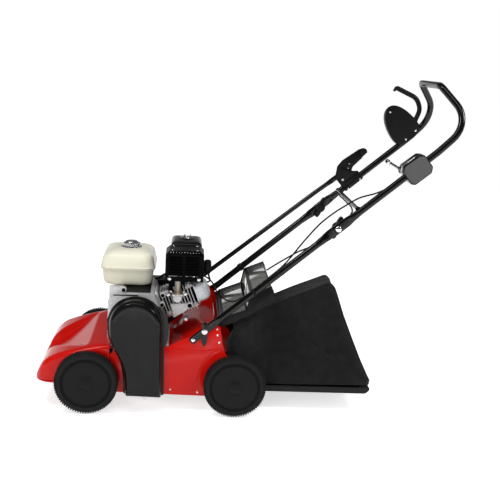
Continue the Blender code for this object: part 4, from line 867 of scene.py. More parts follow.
def bent_sheet(line, half, thickness, steps=1):
    """Sheet metal along an (x, z) line, extruded across the machine and given its wall below."""
    bm = bmesh.new()
    verts = [bm.verts.new(at(x, -half, z)) for x, z in line]
    edges = [bm.edges.new(pair) for pair in zip(verts, verts[1:])]
    for _ in range(steps):
        grown = bmesh.ops.extrude_edge_only(bm, edges=edges)
        edges = fresh(grown, bmesh.types.BMEdge)
        bmesh.ops.translate(bm, verts=fresh(grown, bmesh.types.BMVert), vec=(0, 2 * half / steps, 0))
    outward(bm, upward=True)
    bmesh.ops.solidify(bm, geom=bm.faces[:], thickness=thickness)
    return bm


def deck():
    """The bent deck sheet, from the wall before the rotor up the chute to the flap."""
    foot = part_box("engine_deck")[0].z
    line = [
        (0.0715, foot), (0.0715, 0.17), (0.0735, 0.182), (0.084, 0.188), (0.262, 0.188), (0.274, 0.196),
        (0.296, 0.218), (0.352, 0.2475), (0.398, 0.268),
    ]
    return bent_sheet(rounded_line(line, 0.006), PLATE_Y - 0.0034, 0.003)


class SCARIFIER_OT_body(bpy.types.Operator):
    """Build the red pressings: front cover, side plates and deck, with their fasteners"""
    bl_idname = "scarifier.body"
    bl_label = "Body"

    def execute(self, context):
        add_wall(finish("front_cover", hood_shell(), "red_paint", "front_hood", 50), 0.0018)
        finish("front_cover_hem", hood_hem(), "red_paint", sharp=60)
        for side, sign in SIDES:
            finish(f"{side}_side_sheet", side_plate(sign), "red_paint", f"{side}_side_plate", 30)
            finish(f"{side}_plate_bolts", plate_fasteners(sign), "bright_steel")
        finish("deck_sheet", deck(), "red_paint", "engine_deck", 30)
        return {"FINISHED"}


CASE_SOCKETS = ((0.103, 0.3735), (0.2276, 0.36), (0.2264, 0.3285))
CASE_MIDDLE = (CRANK[0] + 0.002, CRANK[1] - 0.008)
CASE_BOLTS = [(a, *polar(CASE_MIDDLE, 0.071, a)) for a in (20, 75, 130, 185, 240, 300)]
LEFT = (0, -1, 0)
UP = (0, 0, 1)


def along_cylinder(s, t):
    """An (x, z) place s along the leaning cylinder and t across it."""
    c, n = math.cos(CYLINDER_LEAN), math.sin(CYLINDER_LEAN)
    return (CRANK[0] + s * c - t * n, CRANK[1] + s * n + t * c)


def leaned(bm, s=0.0, t=0.0, y=0.0):
    """A shape made round the origin, with X along the cylinder and Z across it, set in its place."""
    x, z = along_cylinder(s, t)
    return moved(bm, at(x, y, z), Matrix.Rotation(-CYLINDER_LEAN, 3, "Y"))


def scaled_line(line, centre, share):
    """An outline drawn in towards a centre."""
    middle = Vector(centre)
    return [tuple(middle + (Vector(p) - middle) * share) for p in line]


def boss(x, y, z, radius, height, drop=0.003):
    """A cast round boss on a left face, with a drafted side, sunk a little into its wall."""
    side = [(radius * 1.15, -drop), (radius, height * 0.9), (radius * 0.92, height)]
    return turned([(0, -drop), *side, (0, height)], at(x, y, z), 28, LEFT)


def crankcase_shape():
    """Barrel and side cover of the engine: drafted walls, ribs, bosses and a ringed crankshaft cover."""
    top = 0.3655
    edge_top, edge_low = along_cylinder(0.0785, 0.052), along_cylinder(0.0785, -0.056)
    outline = [
        (0.06, ENGINE_BASE_Z), (0.053, 0.215), (0.053, 0.335), (0.072, top), (edge_top[0] - 0.012, top),
        edge_top, edge_low, (0.244, 0.222), (0.244, ENGINE_BASE_Z),
    ]
    line = rounded(outline, [0.002, 0.014, 0.022, 0.016, 0.008, 0.001, 0.001, 0.012, 0.002], 5)
    middle = (0.15, 0.277)
    side_cover = [
        (0, -0.138), (0.064, -0.138), (0.064, -0.144), (0.06, -0.1475), (0.056, -0.148), (0.054, -0.147),
        (0.05, -0.1475), (0.046, -0.1515), (0.028, -0.155), (0.024, -0.156), (0.015, -0.156),
        (0.0135, -0.1545), (0.0132, -0.14), (0, -0.14),
    ]
    web = [
        (0.0575, 0.35), (0.0575, 0.385), (0.066, 0.388), (0.093, 0.38), (0.104, 0.3825), (0.1125, 0.3745),
        (0.11, 0.366), (0.1, 0.36),
    ]
    panel = [(0.06, 0.348), (0.13, 0.348), (0.118, 0.344), (0.084, 0.318), (0.07, 0.29), (0.06, 0.285)]
    return merge(
        prism(line, -0.13, 0.0748, 0.0035, 3),
        prism(scaled_line(line, middle, 0.985), -0.1425, -0.1318, 0.003, 3),
        prism(scaled_line(line, middle, 0.965), -0.133, -0.129),
        block((0.046, -0.152, ENGINE_BASE_Z), (0.252, 0.0745, ENGINE_BASE_Z + 0.011), 0.004, 3),
        turned(side_cover, at(CRANK[0], 0, CRANK[1] - 0.01), 64),
        *(boss(x, -0.1405, z, 0.007, 0.0035) for _, x, z in CASE_BOLTS),
        *(block((0.0505, -0.12, z - 0.0013), (0.056, 0.06, z + 0.0013), 0.001)
          for z in (0.226, 0.25, 0.274, 0.298, 0.322)),
        prism(rounded(web, 0.003, 3), -0.144, -0.1375, 0.001),
        block((0.09, -0.146, 0.3585), (0.152, -0.1405, 0.3618), 0.0012),
        prism(rounded(panel, 0.003, 3), -0.1448, -0.141, 0.0012),
        *(boss(x, -0.143, z, 0.0078, 0.0045, 0.012) for x, z in CASE_SOCKETS),
    )


def painted_shade_pieces():
    """Black pieces that paint the shade in the castings' gaps: a sheet on the case under the tank, a strip
    below the case's rail, dark heads sunk in the bolt sockets and a plate behind the exhaust.
    """
    exhaust_shade_plate = [(0.244, 0.352), (0.298, 0.374), (0.298, 0.404), (0.244, 0.404)]
    return merge(
        block((0.096, -0.1385, 0.3653), (0.188, 0.05, 0.366)),
        block((0.07, -0.145, 0.354), (0.15, -0.1415, 0.3572), 0.0006, 1),
        prism(exhaust_shade_plate, -0.109, -0.1075, 0.0003, 1),
        *(bolt(at(x, -0.1474, z), LEFT, 0.0042, 0.0012, phase=z * 40) for x, z in CASE_SOCKETS),
        bolt(at(0.3154, -0.1212, 0.3221), LEFT, 0.005, 0.0014),
    )


def case_bolts():
    drain = at(0.07, 0, 0.207)
    return merge(
        *(bolt(at(x, -0.144, z), LEFT, 0.0048, 0.0046, phase=a) for a, x, z in CASE_BOLTS),
        *(bolt(at(x, y, ENGINE_BASE_Z + 0.011), UP, 0.0052, 0.005, phase=x * 9)
          for x in (0.058, 0.24) for y in (-0.146, 0.066)),
        turned([(0, -0.144), (0.007, -0.144), (0.007, -0.149), (0.0058, -0.15), (0, -0.15)], drain, 6),
        turned([(0, -0.142), (0.0092, -0.142), (0.0092, -0.1442), (0, -0.1442)], drain, 28),
    )


def cross_plate(thick, depth, height, corner):
    """A plate square to the cylinder's axis with round corners."""
    bm = cuboid((thick, depth, height))
    soften(bm, edges_along(bm, 0, thick * 0.9), corner, 4)
    return bm


def cylinder_fins():
    """Thin cooling fins on the leaning barrel and head, with the head's gasket line and its corner bosses."""
    near, far = -0.112, -0.004
    middle_y = (near + far) / 2
    depth = far - near
    shapes = [leaned(cross_plate(0.006, depth - 0.004, 0.104, 0.012), 0.0815, -0.002, middle_y)]
    for index in range(12):
        grow = 0.0 if index < 6 else 0.007
        thin, corner = (0.0055, 0.01) if index == 6 else (0.0017, 0.014)
        fin = cross_plate(thin, depth + grow, 0.092 + grow, corner)
        shapes.append(leaned(fin, 0.085 + 0.0096 * index, 0.0, middle_y))
    post = [(0, -0.048), (0.0085, -0.048), (0.0085, 0.05), (0.0075, 0.052), (0, 0.052)]
    for t in (-0.034, 0.034):
        for y in (near + 0.012, far - 0.012):
            shapes.append(leaned(turned(post, (0, 0, 0), 24, "X"), 0.145, t, y))
    port = [(0, -0.1), (0.015, -0.1), (0.015, -0.133), (0.0135, -0.135), (0, -0.135)]
    flange = block((0.256, -0.142, 0.356), (0.292, -0.11, 0.3622), 0.003, 3)
    return merge(*shapes, turned(port, at(0.274, 0, 0.349), 32), flange)


def shroud_plate():
    """The flat cast plate low on the cylinder's side, with a bare face, and its bolt ear."""
    line = rounded([(0.2513, 0.3242), (0.3061, 0.3278), (0.3085, 0.306), (0.2642, 0.2775)], 0.0035, 4)
    plate = prism(line, -0.1175, -0.105, 0.0012)
    face = [f for f in plate.faces if f.normal.y < -0.99]
    for thickness, depth in ((0.003, 0.0), (0.0006, -0.0008)):
        bmesh.ops.inset_region(plate, faces=face, thickness=thickness, depth=depth)
    return merge(plate, boss(0.3154, -0.117, 0.3221, 0.0095, 0.0045, 0.01))


def end_bolts(radius, height, s, across, near, far):
    """Four bolts that point along the cylinder."""
    return [
        leaned(bolt((0, 0, 0), (1, 0, 0), radius, height), s, t, y)
        for t in (-across, across) for y in (near, far)
    ]


def head_bolts():
    shapes = end_bolts(0.0062, 0.0065, 0.197, 0.034, -0.1, -0.016)
    for x, z, r in ((0.305, 0.276, 0.006), (0.244, 0.356, 0.0045), (0.299, 0.36, 0.005)):
        shapes.append(boss(x, -0.1145, z, r * 1.45, 0.004))
        shapes.append(bolt(at(x, -0.1185, z), LEFT, r * 0.82, 0.0045, phase=z * 30))
    return merge(*shapes)


def valve_cover_shape():
    """Domed rocker cover with a flange and draft."""
    loops = []
    for rise, half, y0, y1, corner in (
        (0, 0.034, -0.112, -0.014, 0.011), (0.0035, 0.034, -0.112, -0.014, 0.011),
        (0.004, 0.031, -0.109, -0.017, 0.011), (0.024, 0.0302, -0.108, -0.018, 0.011),
        (0.033, 0.0285, -0.106, -0.02, 0.011), (0.039, 0.025, -0.102, -0.024, 0.011),
        (0.0425, 0.019, -0.096, -0.03, 0.01),
    ):
        loop = []
        for t, y in rounded([(-half, y0), (half, y0), (half, y1), (-half, y1)], corner, 5):
            x, z = along_cylinder(0.2015 + rise, t)
            loop.append(at(x, y, z))
        loops.append(loop)
    return loft(loops)


def spark_boot():
    """Moulded cap over the spark plug, with a ribbed collar where its lead goes in."""
    nose = [(0, 0.004), (0.007, 0.004), (0.0082, 0.01), (0.0082, 0.034), (0.0072, 0.04), (0, 0.04)]
    collar = [(0, 0.408)]
    for step in range(4):
        z = 0.4085 + step * 0.0022
        collar += [(0.0062, z), (0.0062, z + 0.0012), (0.005, z + 0.0014), (0.005, z + 0.002)]
    lean = Matrix.Rotation(-CYLINDER_LEAN, 3, "Y")
    return merge(
        block((0.3575, -0.0325, 0.412), (0.3825, -0.0085, 0.4545), 0.0085, 4),
        moved(turned(nose, (0, 0, 0), 28, "X"), at(0.332, -0.0205, 0.404), lean),
        turned(collar + [(0, 0.4175)], at(0.374, -0.0205, 0), 24, "Z"),
    )


def cord(way, radius, sides=12):
    """A lead or hose on a smooth curve through places."""
    return sweep(smooth_path([at(*p) for p in way], 0.004), radius, sides=sides)


LEAD_WAY = [
    (0.374, -0.0205, 0.41), (0.3755, -0.0195, 0.4), (0.379, -0.013, 0.388), (0.38, 0.005, 0.376),
    (0.37, 0.03, 0.365), (0.348, 0.056, 0.356), (0.318, 0.072, 0.348), (0.295, 0.08, 0.34),
]


class SCARIFIER_OT_engine(bpy.types.Operator):
    """Build the engine's castings: crankcase, finned cylinder, rocker cover and their bolts"""
    bl_idname = "scarifier.engine"
    bl_label = "Engine"

    def execute(self, context):
        finish("crankcase_casting", crankcase_shape(), "cast_aluminium", "crankcase", 32)
        finish("crankcase_bolts", case_bolts(), "bright_steel")
        finish("cylinder_fins", cylinder_fins(), "cast_aluminium", "cylinder", 32)
        # A black block inside the fins, standing for no part of the casting: painted shade in the gaps
        # between the fins.
        barrel = leaned(cuboid((0.12, 0.07, 0.06), 0.006, 3), 0.1385, 0.0, -0.058)
        finish("cylinder_barrel", barrel, "black_metal")
        # Painted shade: black sheets and heads laid where the engine's castings only lie in shadow.
        finish("engine_dark_details", painted_shade_pieces(), "black_metal")
        finish("cylinder_side_plate", shroud_plate(), "cast_aluminium", sharp=30)
        finish("cylinder_bolts", head_bolts(), "bright_steel")
        finish("rocker_cover", valve_cover_shape(), "smooth_casting", "valve_cover", 40)
        rocker_bolts = end_bolts(0.004, 0.004, 0.2052, 0.027, -0.105, -0.021)
        finish("rocker_cover_bolts", merge(*rocker_bolts), "bright_steel")
        finish("spark_plug_boot", spark_boot(), "black_plastic", "spark_plug_cap", 40)
        finish("ignition_lead", cord(LEAD_WAY, 0.0032), "cable_plastic", sharp=60)
        return {"FINISHED"}


GUARD_LOW = Vector((0.2325, -0.142, 0.4065))
GUARD_HIGH = Vector((0.355, -0.036, 0.505))
GUARD_ROWS = [GUARD_LOW.z + 0.016 + row * 0.0097 for row in range(7)]
GUARD_COLUMNS = [GUARD_LOW.x + 0.011, GUARD_LOW.x + 0.0635]


def guard_shell():
    """Folded muffler guard: chamfered top, side louvres pushed out in two columns and rows of round holes."""
    low, high = GUARD_LOW, GUARD_HIGH
    shell = block(low, high)
    top = [e for e in shell.edges if all(v.co.z > high.z - 0.001 for v in e.verts)]
    bmesh.ops.bevel(shell, geom=top, offset=0.012, segments=1, profile=0.5, affect="EDGES", material=-1)
    soften(shell, edges_along(shell, 2, 0.05), 0.003, 3)
    bottom = [f for f in shell.faces if f.normal.z < -0.9]
    bmesh.ops.delete(shell, geom=bottom, context="FACES")
    bmesh.ops.solidify(shell, geom=shell.faces[:], thickness=0.0016)
    slots = [
        block((left, low.y - 0.01, z), (left + 0.044, low.y + 0.01, z + 0.0034), 0.0012)
        for left in GUARD_COLUMNS for z in GUARD_ROWS
    ]
    slots += [
        block((side - 0.01, -0.126, z), (side + 0.01, -0.052, z + 0.003), 0.0012)
        for side in (low.x, high.x) for z in GUARD_ROWS
    ]
    holes = [(low.x + 0.016 + step * 0.009, low.y + 0.006, (0, -1, 1)) for step in range(11)]
    for side, lean in ((low.x, -1), (high.x, 1)):
        holes += [(side - lean * 0.006, low.y + 0.017 + step * 0.009, (lean, 0, 1)) for step in range(9)]
    pin = [(0, -0.01), (0.0017, -0.01), (0.0017, 0.01), (0, 0.01)]
    slots += [turned(pin, at(x, y, high.z - 0.006), 14, way) for x, y, way in holes]
    return carved(shell, merge(*slots))


def guard_louvres():
    """Hoods pressed out over each slot of the guard's near face."""
    line = [(0.0, 0.0078), (-0.0022, 0.0046), (-0.0026, 0.003), (-0.0018, 0.0034), (0.0004, 0.0062)]
    return merge(*(
        loft([[at(x, GUARD_LOW.y + y, z + up) for y, up in line] for x in (left, left + 0.044)])
        for left in GUARD_COLUMNS for z in GUARD_ROWS
    ))


def guard_fixings_and_glints():
    low, high = GUARD_LOW, GUARD_HIGH
    ends = (low.x + 0.022, high.x - 0.022)
    return merge(
        *(screw(at(x, y, high.z), UP, 0.0042, 0.0018) for y in (-0.122, -0.056) for x in ends),
        *(bolt(at(x, low.y, low.z + 0.008), LEFT, 0.0038, 0.003) for x in (low.x + 0.014, high.x - 0.014)),
        # A row of tiny bright heads set in the chamfer's holes: painted highlights for the light seen through
        # the holes.
        *(bolt(at(x, low.y + 0.0054, high.z - 0.0054), (0, -1, 1), 0.0015, 0.0012, False)
          for x in (low.x + 0.016 + step * 0.009 for step in range(11))),
    )


class SCARIFIER_OT_exhaust(bpy.types.Operator):
    """Build the exhaust pipe, the muffler drum and its louvred guard"""
    bl_idname = "scarifier.exhaust"
    bl_label = "Exhaust"

    def execute(self, context):
        pipe = [
            (0, 0.3632), (0.015, 0.3632), (0.015, 0.3672), (0.0112, 0.3682), (0.01, 0.372), (0.01, 0.41),
            (0.0108, 0.418), (0, 0.418),
        ]
        elbow = turned(pipe, at(0.274, -0.128, 0), 32, "Z")
        finish("exhaust_elbow", elbow, "exhaust_steel", "exhaust_pipe", 40)
        nuts = [
            bolt(at(0.274 + dx, -0.128, 0.3672), UP, 0.0042, 0.0055, phase=dx * 50)
            for dx in (-0.0205, 0.0205)
        ]
        finish("exhaust_nuts", merge(*nuts), "bright_steel")
        drum = [
            (0, 0.247), (0.022, 0.247), (0.03, 0.249), (0.0352, 0.254), (0.036, 0.257), (0.036, 0.264),
            (0.0345, 0.2655), (0.0345, 0.292), (0.036, 0.293), (0.036, 0.2955), (0.0345, 0.2965),
            (0.0345, 0.323), (0.036, 0.3245), (0.036, 0.332), (0.035, 0.335), (0.03, 0.339), (0.022, 0.341),
            (0, 0.341),
        ]
        finish("muffler_drum", turned(drum, at(0, -0.09, 0.455), 56, "X"), "black_metal", "muffler")
        finish("muffler_guard_sheet", guard_shell(), "black_metal", "muffler_guard", 30)
        finish("muffler_guard_louvres", guard_louvres(), "black_metal", sharp=30)
        # Screws, bolts and a row of bright heads that paint highlights in the guard's holes.
        finish("muffler_guard_screws", guard_fixings_and_glints(), "bright_steel")
        return {"FINISHED"}


def box_loops(sections, centre, steps):
    """Loops of a box with round corners; a section is its height, half sizes along x and y, and corner."""
    loops = []
    for z, half_x, half_y, corner in sections:
        corners = [(-half_x, -half_y), (half_x, -half_y), (half_x, half_y), (-half_x, half_y)]
        loops.append([at(centre[0] + x, centre[1] + y, z) for x, y in rounded(corners, corner, steps)])
    return loft(loops)


def tank_shape():
    """Two welded pressings with a seam lip, a crowned top sinking to the filler neck and soft corners."""
    sections = [
        (0.3662, 0.065, 0.028), (0.3668, 0.07, 0.029), (0.3688, 0.0745, 0.03), (0.373, 0.0778, 0.031),
        (0.382, 0.0803, 0.031), (0.4, 0.0824, 0.031), (0.419, 0.0842, 0.031), (0.42, 0.0852, 0.032),
        (0.4204, 0.0885, 0.034), (0.4208, 0.0892, 0.034), (0.4226, 0.0894, 0.034), (0.4231, 0.0884, 0.034),
        (0.4239, 0.0884, 0.034), (0.4244, 0.0898, 0.034), (0.4252, 0.0903, 0.034), (0.4272, 0.0903, 0.034),
        (0.4282, 0.0896, 0.034), (0.4292, 0.0888, 0.033), (0.433, 0.0881, 0.033), (0.442, 0.0861, 0.033),
        (0.452, 0.0839, 0.033), (0.46, 0.0812, 0.033), (0.466, 0.0778, 0.032), (0.4705, 0.073, 0.031),
        (0.474, 0.067, 0.029), (0.4768, 0.059, 0.026), (0.4788, 0.05, 0.023), (0.4801, 0.04, 0.019),
        (0.4806, 0.032, 0.015),
    ]
    widened = {0.3662: 0.015, 0.3668: 0.015, 0.3688: 0.015, 0.373: 0.0156, 0.382: 0.0159}
    rows = [(z, half, half + widened.get(z, 0.016), corner) for z, half, corner in sections]
    return box_loops(rows, (0.109, 0.035), 9)


def cap_shape():
    """Chromed filler cap: fluted rim, stepped dome and a vent nub."""
    flutes = 18
    loops = []
    for rise, radius, depth in (
        (0, 0.0262, 0.0), (0.001, 0.0285, 0.0005), (0.002, 0.0289, 0.003), (0.01, 0.0289, 0.003),
        (0.0116, 0.028, 0.001), (0.0124, 0.0262, 0.0002), (0.013, 0.0226, 0.0), (0.014, 0.0212, 0.0),
        (0.0168, 0.0196, 0.0), (0.0182, 0.016, 0.0), (0.019, 0.006, 0.0),
    ):
        loop = []
        for step in range(flutes * 8):
            angle = math.tau * step / (flutes * 8)
            r = radius - depth * (1 - abs(math.sin(angle * flutes / 2)) ** 0.6)
            loop.append(at(0.115 + r * math.cos(angle), 0.03 + r * math.sin(angle), 0.4818 + rise))
        loops.append(loop)
    return loft(loops)


def air_cleaner_shapes():
    """Cover: drafted sides, a rolled lip, a crowned top with a pressed ring round its wing nut."""
    sections = [
        (0.4645, 0.001, 0.014), (0.465, 0.0, 0.0145), (0.469, 0.0, 0.0145), (0.47, 0.0016, 0.014),
        (0.496, 0.0024, 0.014), (0.502, 0.0036, 0.014), (0.5062, 0.0066, 0.013), (0.509, 0.011, 0.012),
        (0.5106, 0.017, 0.011), (0.5116, 0.026, 0.01),
    ]
    rows = [(z, 0.054 - inset, 0.0725 - inset, corner) for z, inset, corner in sections]
    dish = [
        (0, 0.5112), (0.022, 0.5112), (0.022, 0.5124), (0.0205, 0.5132), (0.017, 0.5132), (0.015, 0.5118),
        (0, 0.5118),
    ]
    return merge(box_loops(rows, (0.298, 0.0405), 6), turned(dish, at(0.3, 0.04, 0), 40, "Z"))


def wing_nut():
    hub = [
        (0, 0.5116), (0.0095, 0.5116), (0.0095, 0.5128), (0.0056, 0.5132), (0.005, 0.5185), (0.0034, 0.52),
        (0, 0.52),
    ]
    wing = [
        (0.0035, 0.5145), (0.008, 0.515), (0.0125, 0.5215), (0.013, 0.525), (0.011, 0.526), (0.008, 0.525),
        (0.0035, 0.519),
    ]
    return merge(turned(hub, at(0.3, 0.04, 0), 24, "Z"), *(
        prism(rounded([(0.3 + sign * x, z) for x, z in wing], 0.0012, 3), 0.0391, 0.0409, 0.0005)
        for sign in (-1, 1)
    ))


def carburettor_shapes():
    """Body, bowl, throat and flanges between the engine and the air cleaner."""
    throat = [
        (0, 0.003), (0.015, 0.003), (0.015, 0.01), (0.012, 0.012), (0.012, 0.06), (0.015, 0.062),
        (0.015, 0.0695), (0, 0.0695),
    ]
    bowl = [
        (0, 0.3755), (0.004, 0.3755), (0.0045, 0.3775), (0.014, 0.3785), (0.0165, 0.381), (0.0168, 0.389),
        (0.018, 0.39), (0.018, 0.3925), (0, 0.3925),
    ]
    return merge(
        block((0.266, 0.015, 0.39), (0.306, 0.055, 0.429), 0.005, 3),
        turned(throat, at(0.286, 0, 0.405), 36), turned(bowl, at(0.286, 0.035, 0), 36, "Z"),
    )


def choke_shape():
    arm = [(0.319, 0.417), (0.329, 0.418), (0.3445, 0.39), (0.34, 0.385), (0.335, 0.387)]
    return merge(
        block((0.3066, 0.0312, 0.4112), (0.3298, 0.0388, 0.4188), 0.0022, 3),
        prism(rounded(arm, 0.003, 3), 0.033, 0.037, 0.0008),
    )


HOSE_WAY = [
    (0.18, 0.07, 0.37), (0.19, 0.07, 0.36), (0.206, 0.066, 0.364), (0.226, 0.056, 0.38),
    (0.246, 0.044, 0.389), (0.266, 0.035, 0.388),
]


class SCARIFIER_OT_fuel(bpy.types.Operator):
    """Build the tank with its cap, the carburettor, choke and air cleaner"""
    bl_idname = "scarifier.fuel"
    bl_label = "Fuel system"

    def execute(self, context):
        finish("tank_pressings", tank_shape(), "cream_paint", "fuel_tank", 50)
        finish("filler_cap_dome", cap_shape(), "bright_steel", "fuel_cap", 40, "filler_cap")
        neck = [(0, 0.479), (0.034, 0.479), (0.0352, 0.48), (0.035, 0.4812), (0.0335, 0.4816), (0, 0.4816)]
        finish("filler_neck", turned(neck, at(0.115, 0.03, 0), 48, "Z"), "bright_steel", sharp=40)
        finish("carburettor_casting", carburettor_shapes(), "cast_aluminium", "carburettor", 32)
        finish("fuel_hose", cord(HOSE_WAY, 0.0042, 14), "cable_plastic", sharp=60)
        finish("choke_arm", choke_shape(), "black_plastic", "choke_lever", 35, "choke")
        tray = rounded([(0.248, 0.431), (0.348, 0.431), (0.348, 0.464), (0.248, 0.464)], 0.008, 4)
        finish("air_cleaner_tray", prism(tray, -0.03, 0.11, 0.003, 3), "black_plastic", "air_cleaner_base")
        finish("air_cleaner_lid", air_cleaner_shapes(), "glossy_plastic", "air_cleaner_cover", 32)
        finish("air_cleaner_wing_nut", wing_nut(), "chrome")
        return {"FINISHED"}


COVER_LOBE = (0.1475, 0.2855)
COVER_SEAT = -PLATE_Y - 0.0024
COVER_FRONT = -0.262
COVER_FACE = -0.2618
RIGHT = (0, 1, 0)


def cover_outline(grow):
    """The belt cover's face: a round lobe over the engine pulley and a straight leg over the rotor's."""
    side = [
        (0.07, 0.262), (0.0735, 0.24), (0.086, 0.21), (0.1, 0.184), (0.1125, 0.156), (0.1195, 0.125),
        (0.1228, 0.09), (0.1235, 0.066),
    ]
    leg = smooth_path([Vector((x - grow, 0, z)) for x, z in side], 0.006)
    return [polar(COVER_LOBE, 0.0785 + grow, a) for a in range(0, 181, 5)] + [(p.x, p.z) for p in leg] + [
        (0.125 - grow, 0.0585 - grow / 2), (0.231 + grow, 0.056 - grow / 2), (0.2318 + grow, 0.06),
        (0.23 + grow, 0.15), (0.2275 + grow, 0.235),
    ]


def belt_cover_shape():
    """Deep moulded cover: a shallow crown, a rolled rim and a stepped flange with ears for its screws."""
    seat, front = COVER_SEAT, COVER_FRONT
    bulge = [
        (0.01, seat), (0.01, seat - 0.0026), (0.0092, seat - 0.0034), (0.0046, seat - 0.0042),
        (0.0036, seat - 0.006), (0.003, seat - 0.02), (0.0018, seat - 0.03), (-0.0004, seat - 0.0362),
        (-0.0034, seat - 0.0408), (-0.0075, front + 0.0012), (-0.013, front + 0.0002), (-0.02, front),
    ]
    hollow = [
        (0.001, seat + 0.01), (0.0005, seat - 0.006), (-0.001, seat - 0.03), (-0.006, seat - 0.039),
        (-0.015, front + 0.0022),
    ]
    return carved(*(
        loft([[at(x, y, z) for x, z in cover_outline(grow)] for grow, y in rows]) for rows in (bulge, hollow)
    ))


def cover_beads():
    """The raised curves that the cover's face is moulded with."""
    long = [(0.176, 0.245), (0.184, 0.225), (0.1865, 0.2), (0.19, 0.175), (0.199, 0.15)]
    short = [(0.098, 0.235), (0.109, 0.212), (0.124, 0.193), (0.136, 0.17)]
    return merge(*(
        sweep(smooth_path([at(x, COVER_FACE, z) for x, z in way], 0.004), across, thick, 12)
        for way, across, thick in ((long, 0.0026, 0.001), (short, 0.0022, 0.0008))
    ))


def cover_screws():
    cup = [
        (0, -0.26), (0.0055, -0.26), (0.0062, -0.2626), (0.005, -0.2632), (0.0046, -0.2616), (0, -0.2616),
    ]
    rim = [polar(COVER_LOBE, 0.0835, angle) for angle in (38, 142)]
    return merge(
        *(turned(cup, at(x, 0, z), 24) for x, z in ((0.1335, 0.068), (0.2215, 0.066))),
        *(screw(at(x, COVER_SEAT - 0.003, z), LEFT, 0.0038, 0.0016) for x, z in rim),
    )


def backplate():
    """The sheet behind the cover, with a black wing in the gap beside the cylinder that paints the shade
    there.
    """
    wing = [
        (0.21, 0.3439), (0.229, 0.339), (0.244, 0.309), (0.252, 0.2764), (0.249, 0.2331), (0.2412, 0.208),
        (0.21, 0.208),
    ]
    return merge(
        prism(cover_outline(0.0085), -PLATE_Y - 0.0003, -PLATE_Y - 0.0021, 0.0004, 1),
        # The wing is painted shade: a black sheet where the gap beside the cylinder lies in shadow.
        prism(rounded(wing, 0.006, 3), -PLATE_Y + 0.0016, -PLATE_Y + 0.0001, 0.0004, 1),
    )


def blower_housing():
    """Pressed housing of the flywheel fan, with a soft face edge, a split line and swaged ribs."""
    foot = ENGINE_BASE_Z + 0.001
    outline = [p for p in [polar(CRANK, 0.102, a) for a in range(150, 291, 5)] if p[1] > foot]
    outline[0] = (0.056, 0.335)
    corners = [0.0] * len(outline) + [0.008, 0.014, 0.014, 0.014, 0.01]
    outline += [(0.235, foot), (0.315, 0.255), (0.33, 0.32), (0.305, 0.36), (0.07, 0.36)]
    split = [at(x, 0.08, z) for x, z in [polar(CRANK, 0.1022, a) for a in range(160, 281, 4)]]
    shapes = [prism(rounded(outline, corners, 4), 0.0753, 0.137, 0.007, 4), sweep(split, 0.0014, 0.003, 8)]
    for index in range(3):
        z = 0.268 + index * 0.026
        rib = [at(0.255 + index * 0.004, 0.1365, z), at(0.308, 0.1365, z + 0.01)]
        shapes.append(sweep(rib, 0.0034, 0.0016, 12))
    return merge(*shapes)


def starter_cover():
    """Recoil starter: a stepped drum with a ring of cooling slots."""
    profile = [
        (0, 0.1383), (0.085, 0.1383), (0.085, 0.1405), (0.082, 0.1412), (0.0815, 0.154), (0.079, 0.158),
        (0.074, 0.1602), (0.056, 0.164), (0.053, 0.1655), (0.05, 0.169), (0.047, 0.1698), (0.03, 0.17),
        (0.028, 0.169), (0.027, 0.166), (0.012, 0.1656), (0.01, 0.1668), (0, 0.1668),
    ]
    slot = cuboid((0.0042, 0.022, 0.017))
    soften(slot, edges_along(slot, 1, 0.02), 0.0018)
    middle = at(CRANK[0], 0, CRANK[1])
    slots = moved(round_copies(moved(slot, (0, 0.166, 0.0655)), 24), middle)
    return carved(turned(profile, middle, 96), slots)


def starter_screws():
    feet = [(a, *polar(CRANK, 0.088, a)) for a in (50, 170, 290)]
    return merge(
        *(bolt(at(x, 0.1383, z), RIGHT, 0.0042, 0.004, phase=a) for a, x, z in feet),
        bolt(at(CRANK[0], 0.1668, CRANK[1]), RIGHT, 0.006, 0.004),
    )


def grip_shape():
    """Moulded starter handle, thick in its middle."""
    start = polar(CRANK, 0.0875, 152)
    direction = Vector((math.cos(math.radians(152)), 0, math.sin(math.radians(152))))
    base = at(start[0], 0.153, start[1])
    rows = [
        (0.0006, 0.006, 0.0045), (0.003, 0.0085, 0.006), (0.006, 0.014, 0.0086), (0.01, 0.0168, 0.0096),
        (0.015, 0.0172, 0.01), (0.02, 0.0164, 0.0096), (0.0235, 0.0146, 0.0086), (0.0255, 0.011, 0.0064),
        (0.026, 0.006, 0.0036),
    ]
    return bar([(base + direction * distance, wide, deep) for distance, wide, deep in rows], 32)


class SCARIFIER_OT_starter(bpy.types.Operator):
    """Build the blower housing, the rope starter and its grip"""
    bl_idname = "scarifier.starter"
    bl_label = "Rope starter"

    def execute(self, context):
        finish("blower_housing", blower_housing(), "black_paint", "flywheel_cover", 32)
        finish("starter_drum", starter_cover(), "black_paint", "recoil_starter", 30)
        screen = [(0, 0.1385), (0.08, 0.1385), (0.08, 0.144), (0, 0.144)]
        finish("starter_fan_screen", turned(screen, at(CRANK[0], 0, CRANK[1]), 64), "bright_steel", sharp=30)
        finish("starter_screws", starter_screws(), "bright_steel")
        finish("starter_handle", grip_shape(), "soft_grip", "starter_grip", 60, "rope_grip")
        return {"FINISHED"}


def pulley_shape(centre, groove, bore):
    """Turned V-belt pulley with a webbed face."""
    half, rim, wide, y = 0.0063, groove + 0.0056, 0.0098, -0.238
    profile = [
        (bore, y - wide), (bore + 0.006, y - wide), (bore + 0.007, y - wide + 0.002),
        (groove - 0.006, y - wide + 0.002), (groove - 0.004, y - wide), (rim - 0.0008, y - wide),
        (rim, y - wide + 0.0008), (rim, y - half), (groove, y - half + 0.001), (groove, y + half - 0.001),
        (rim, y + half), (rim, y + wide - 0.0008), (rim - 0.0008, y + wide), (bore, y + wide),
        (bore, y - wide),
    ]
    return turned(profile, at(centre[0], 0, centre[1]), 64)


ROTOR = (0.18, 0.098)


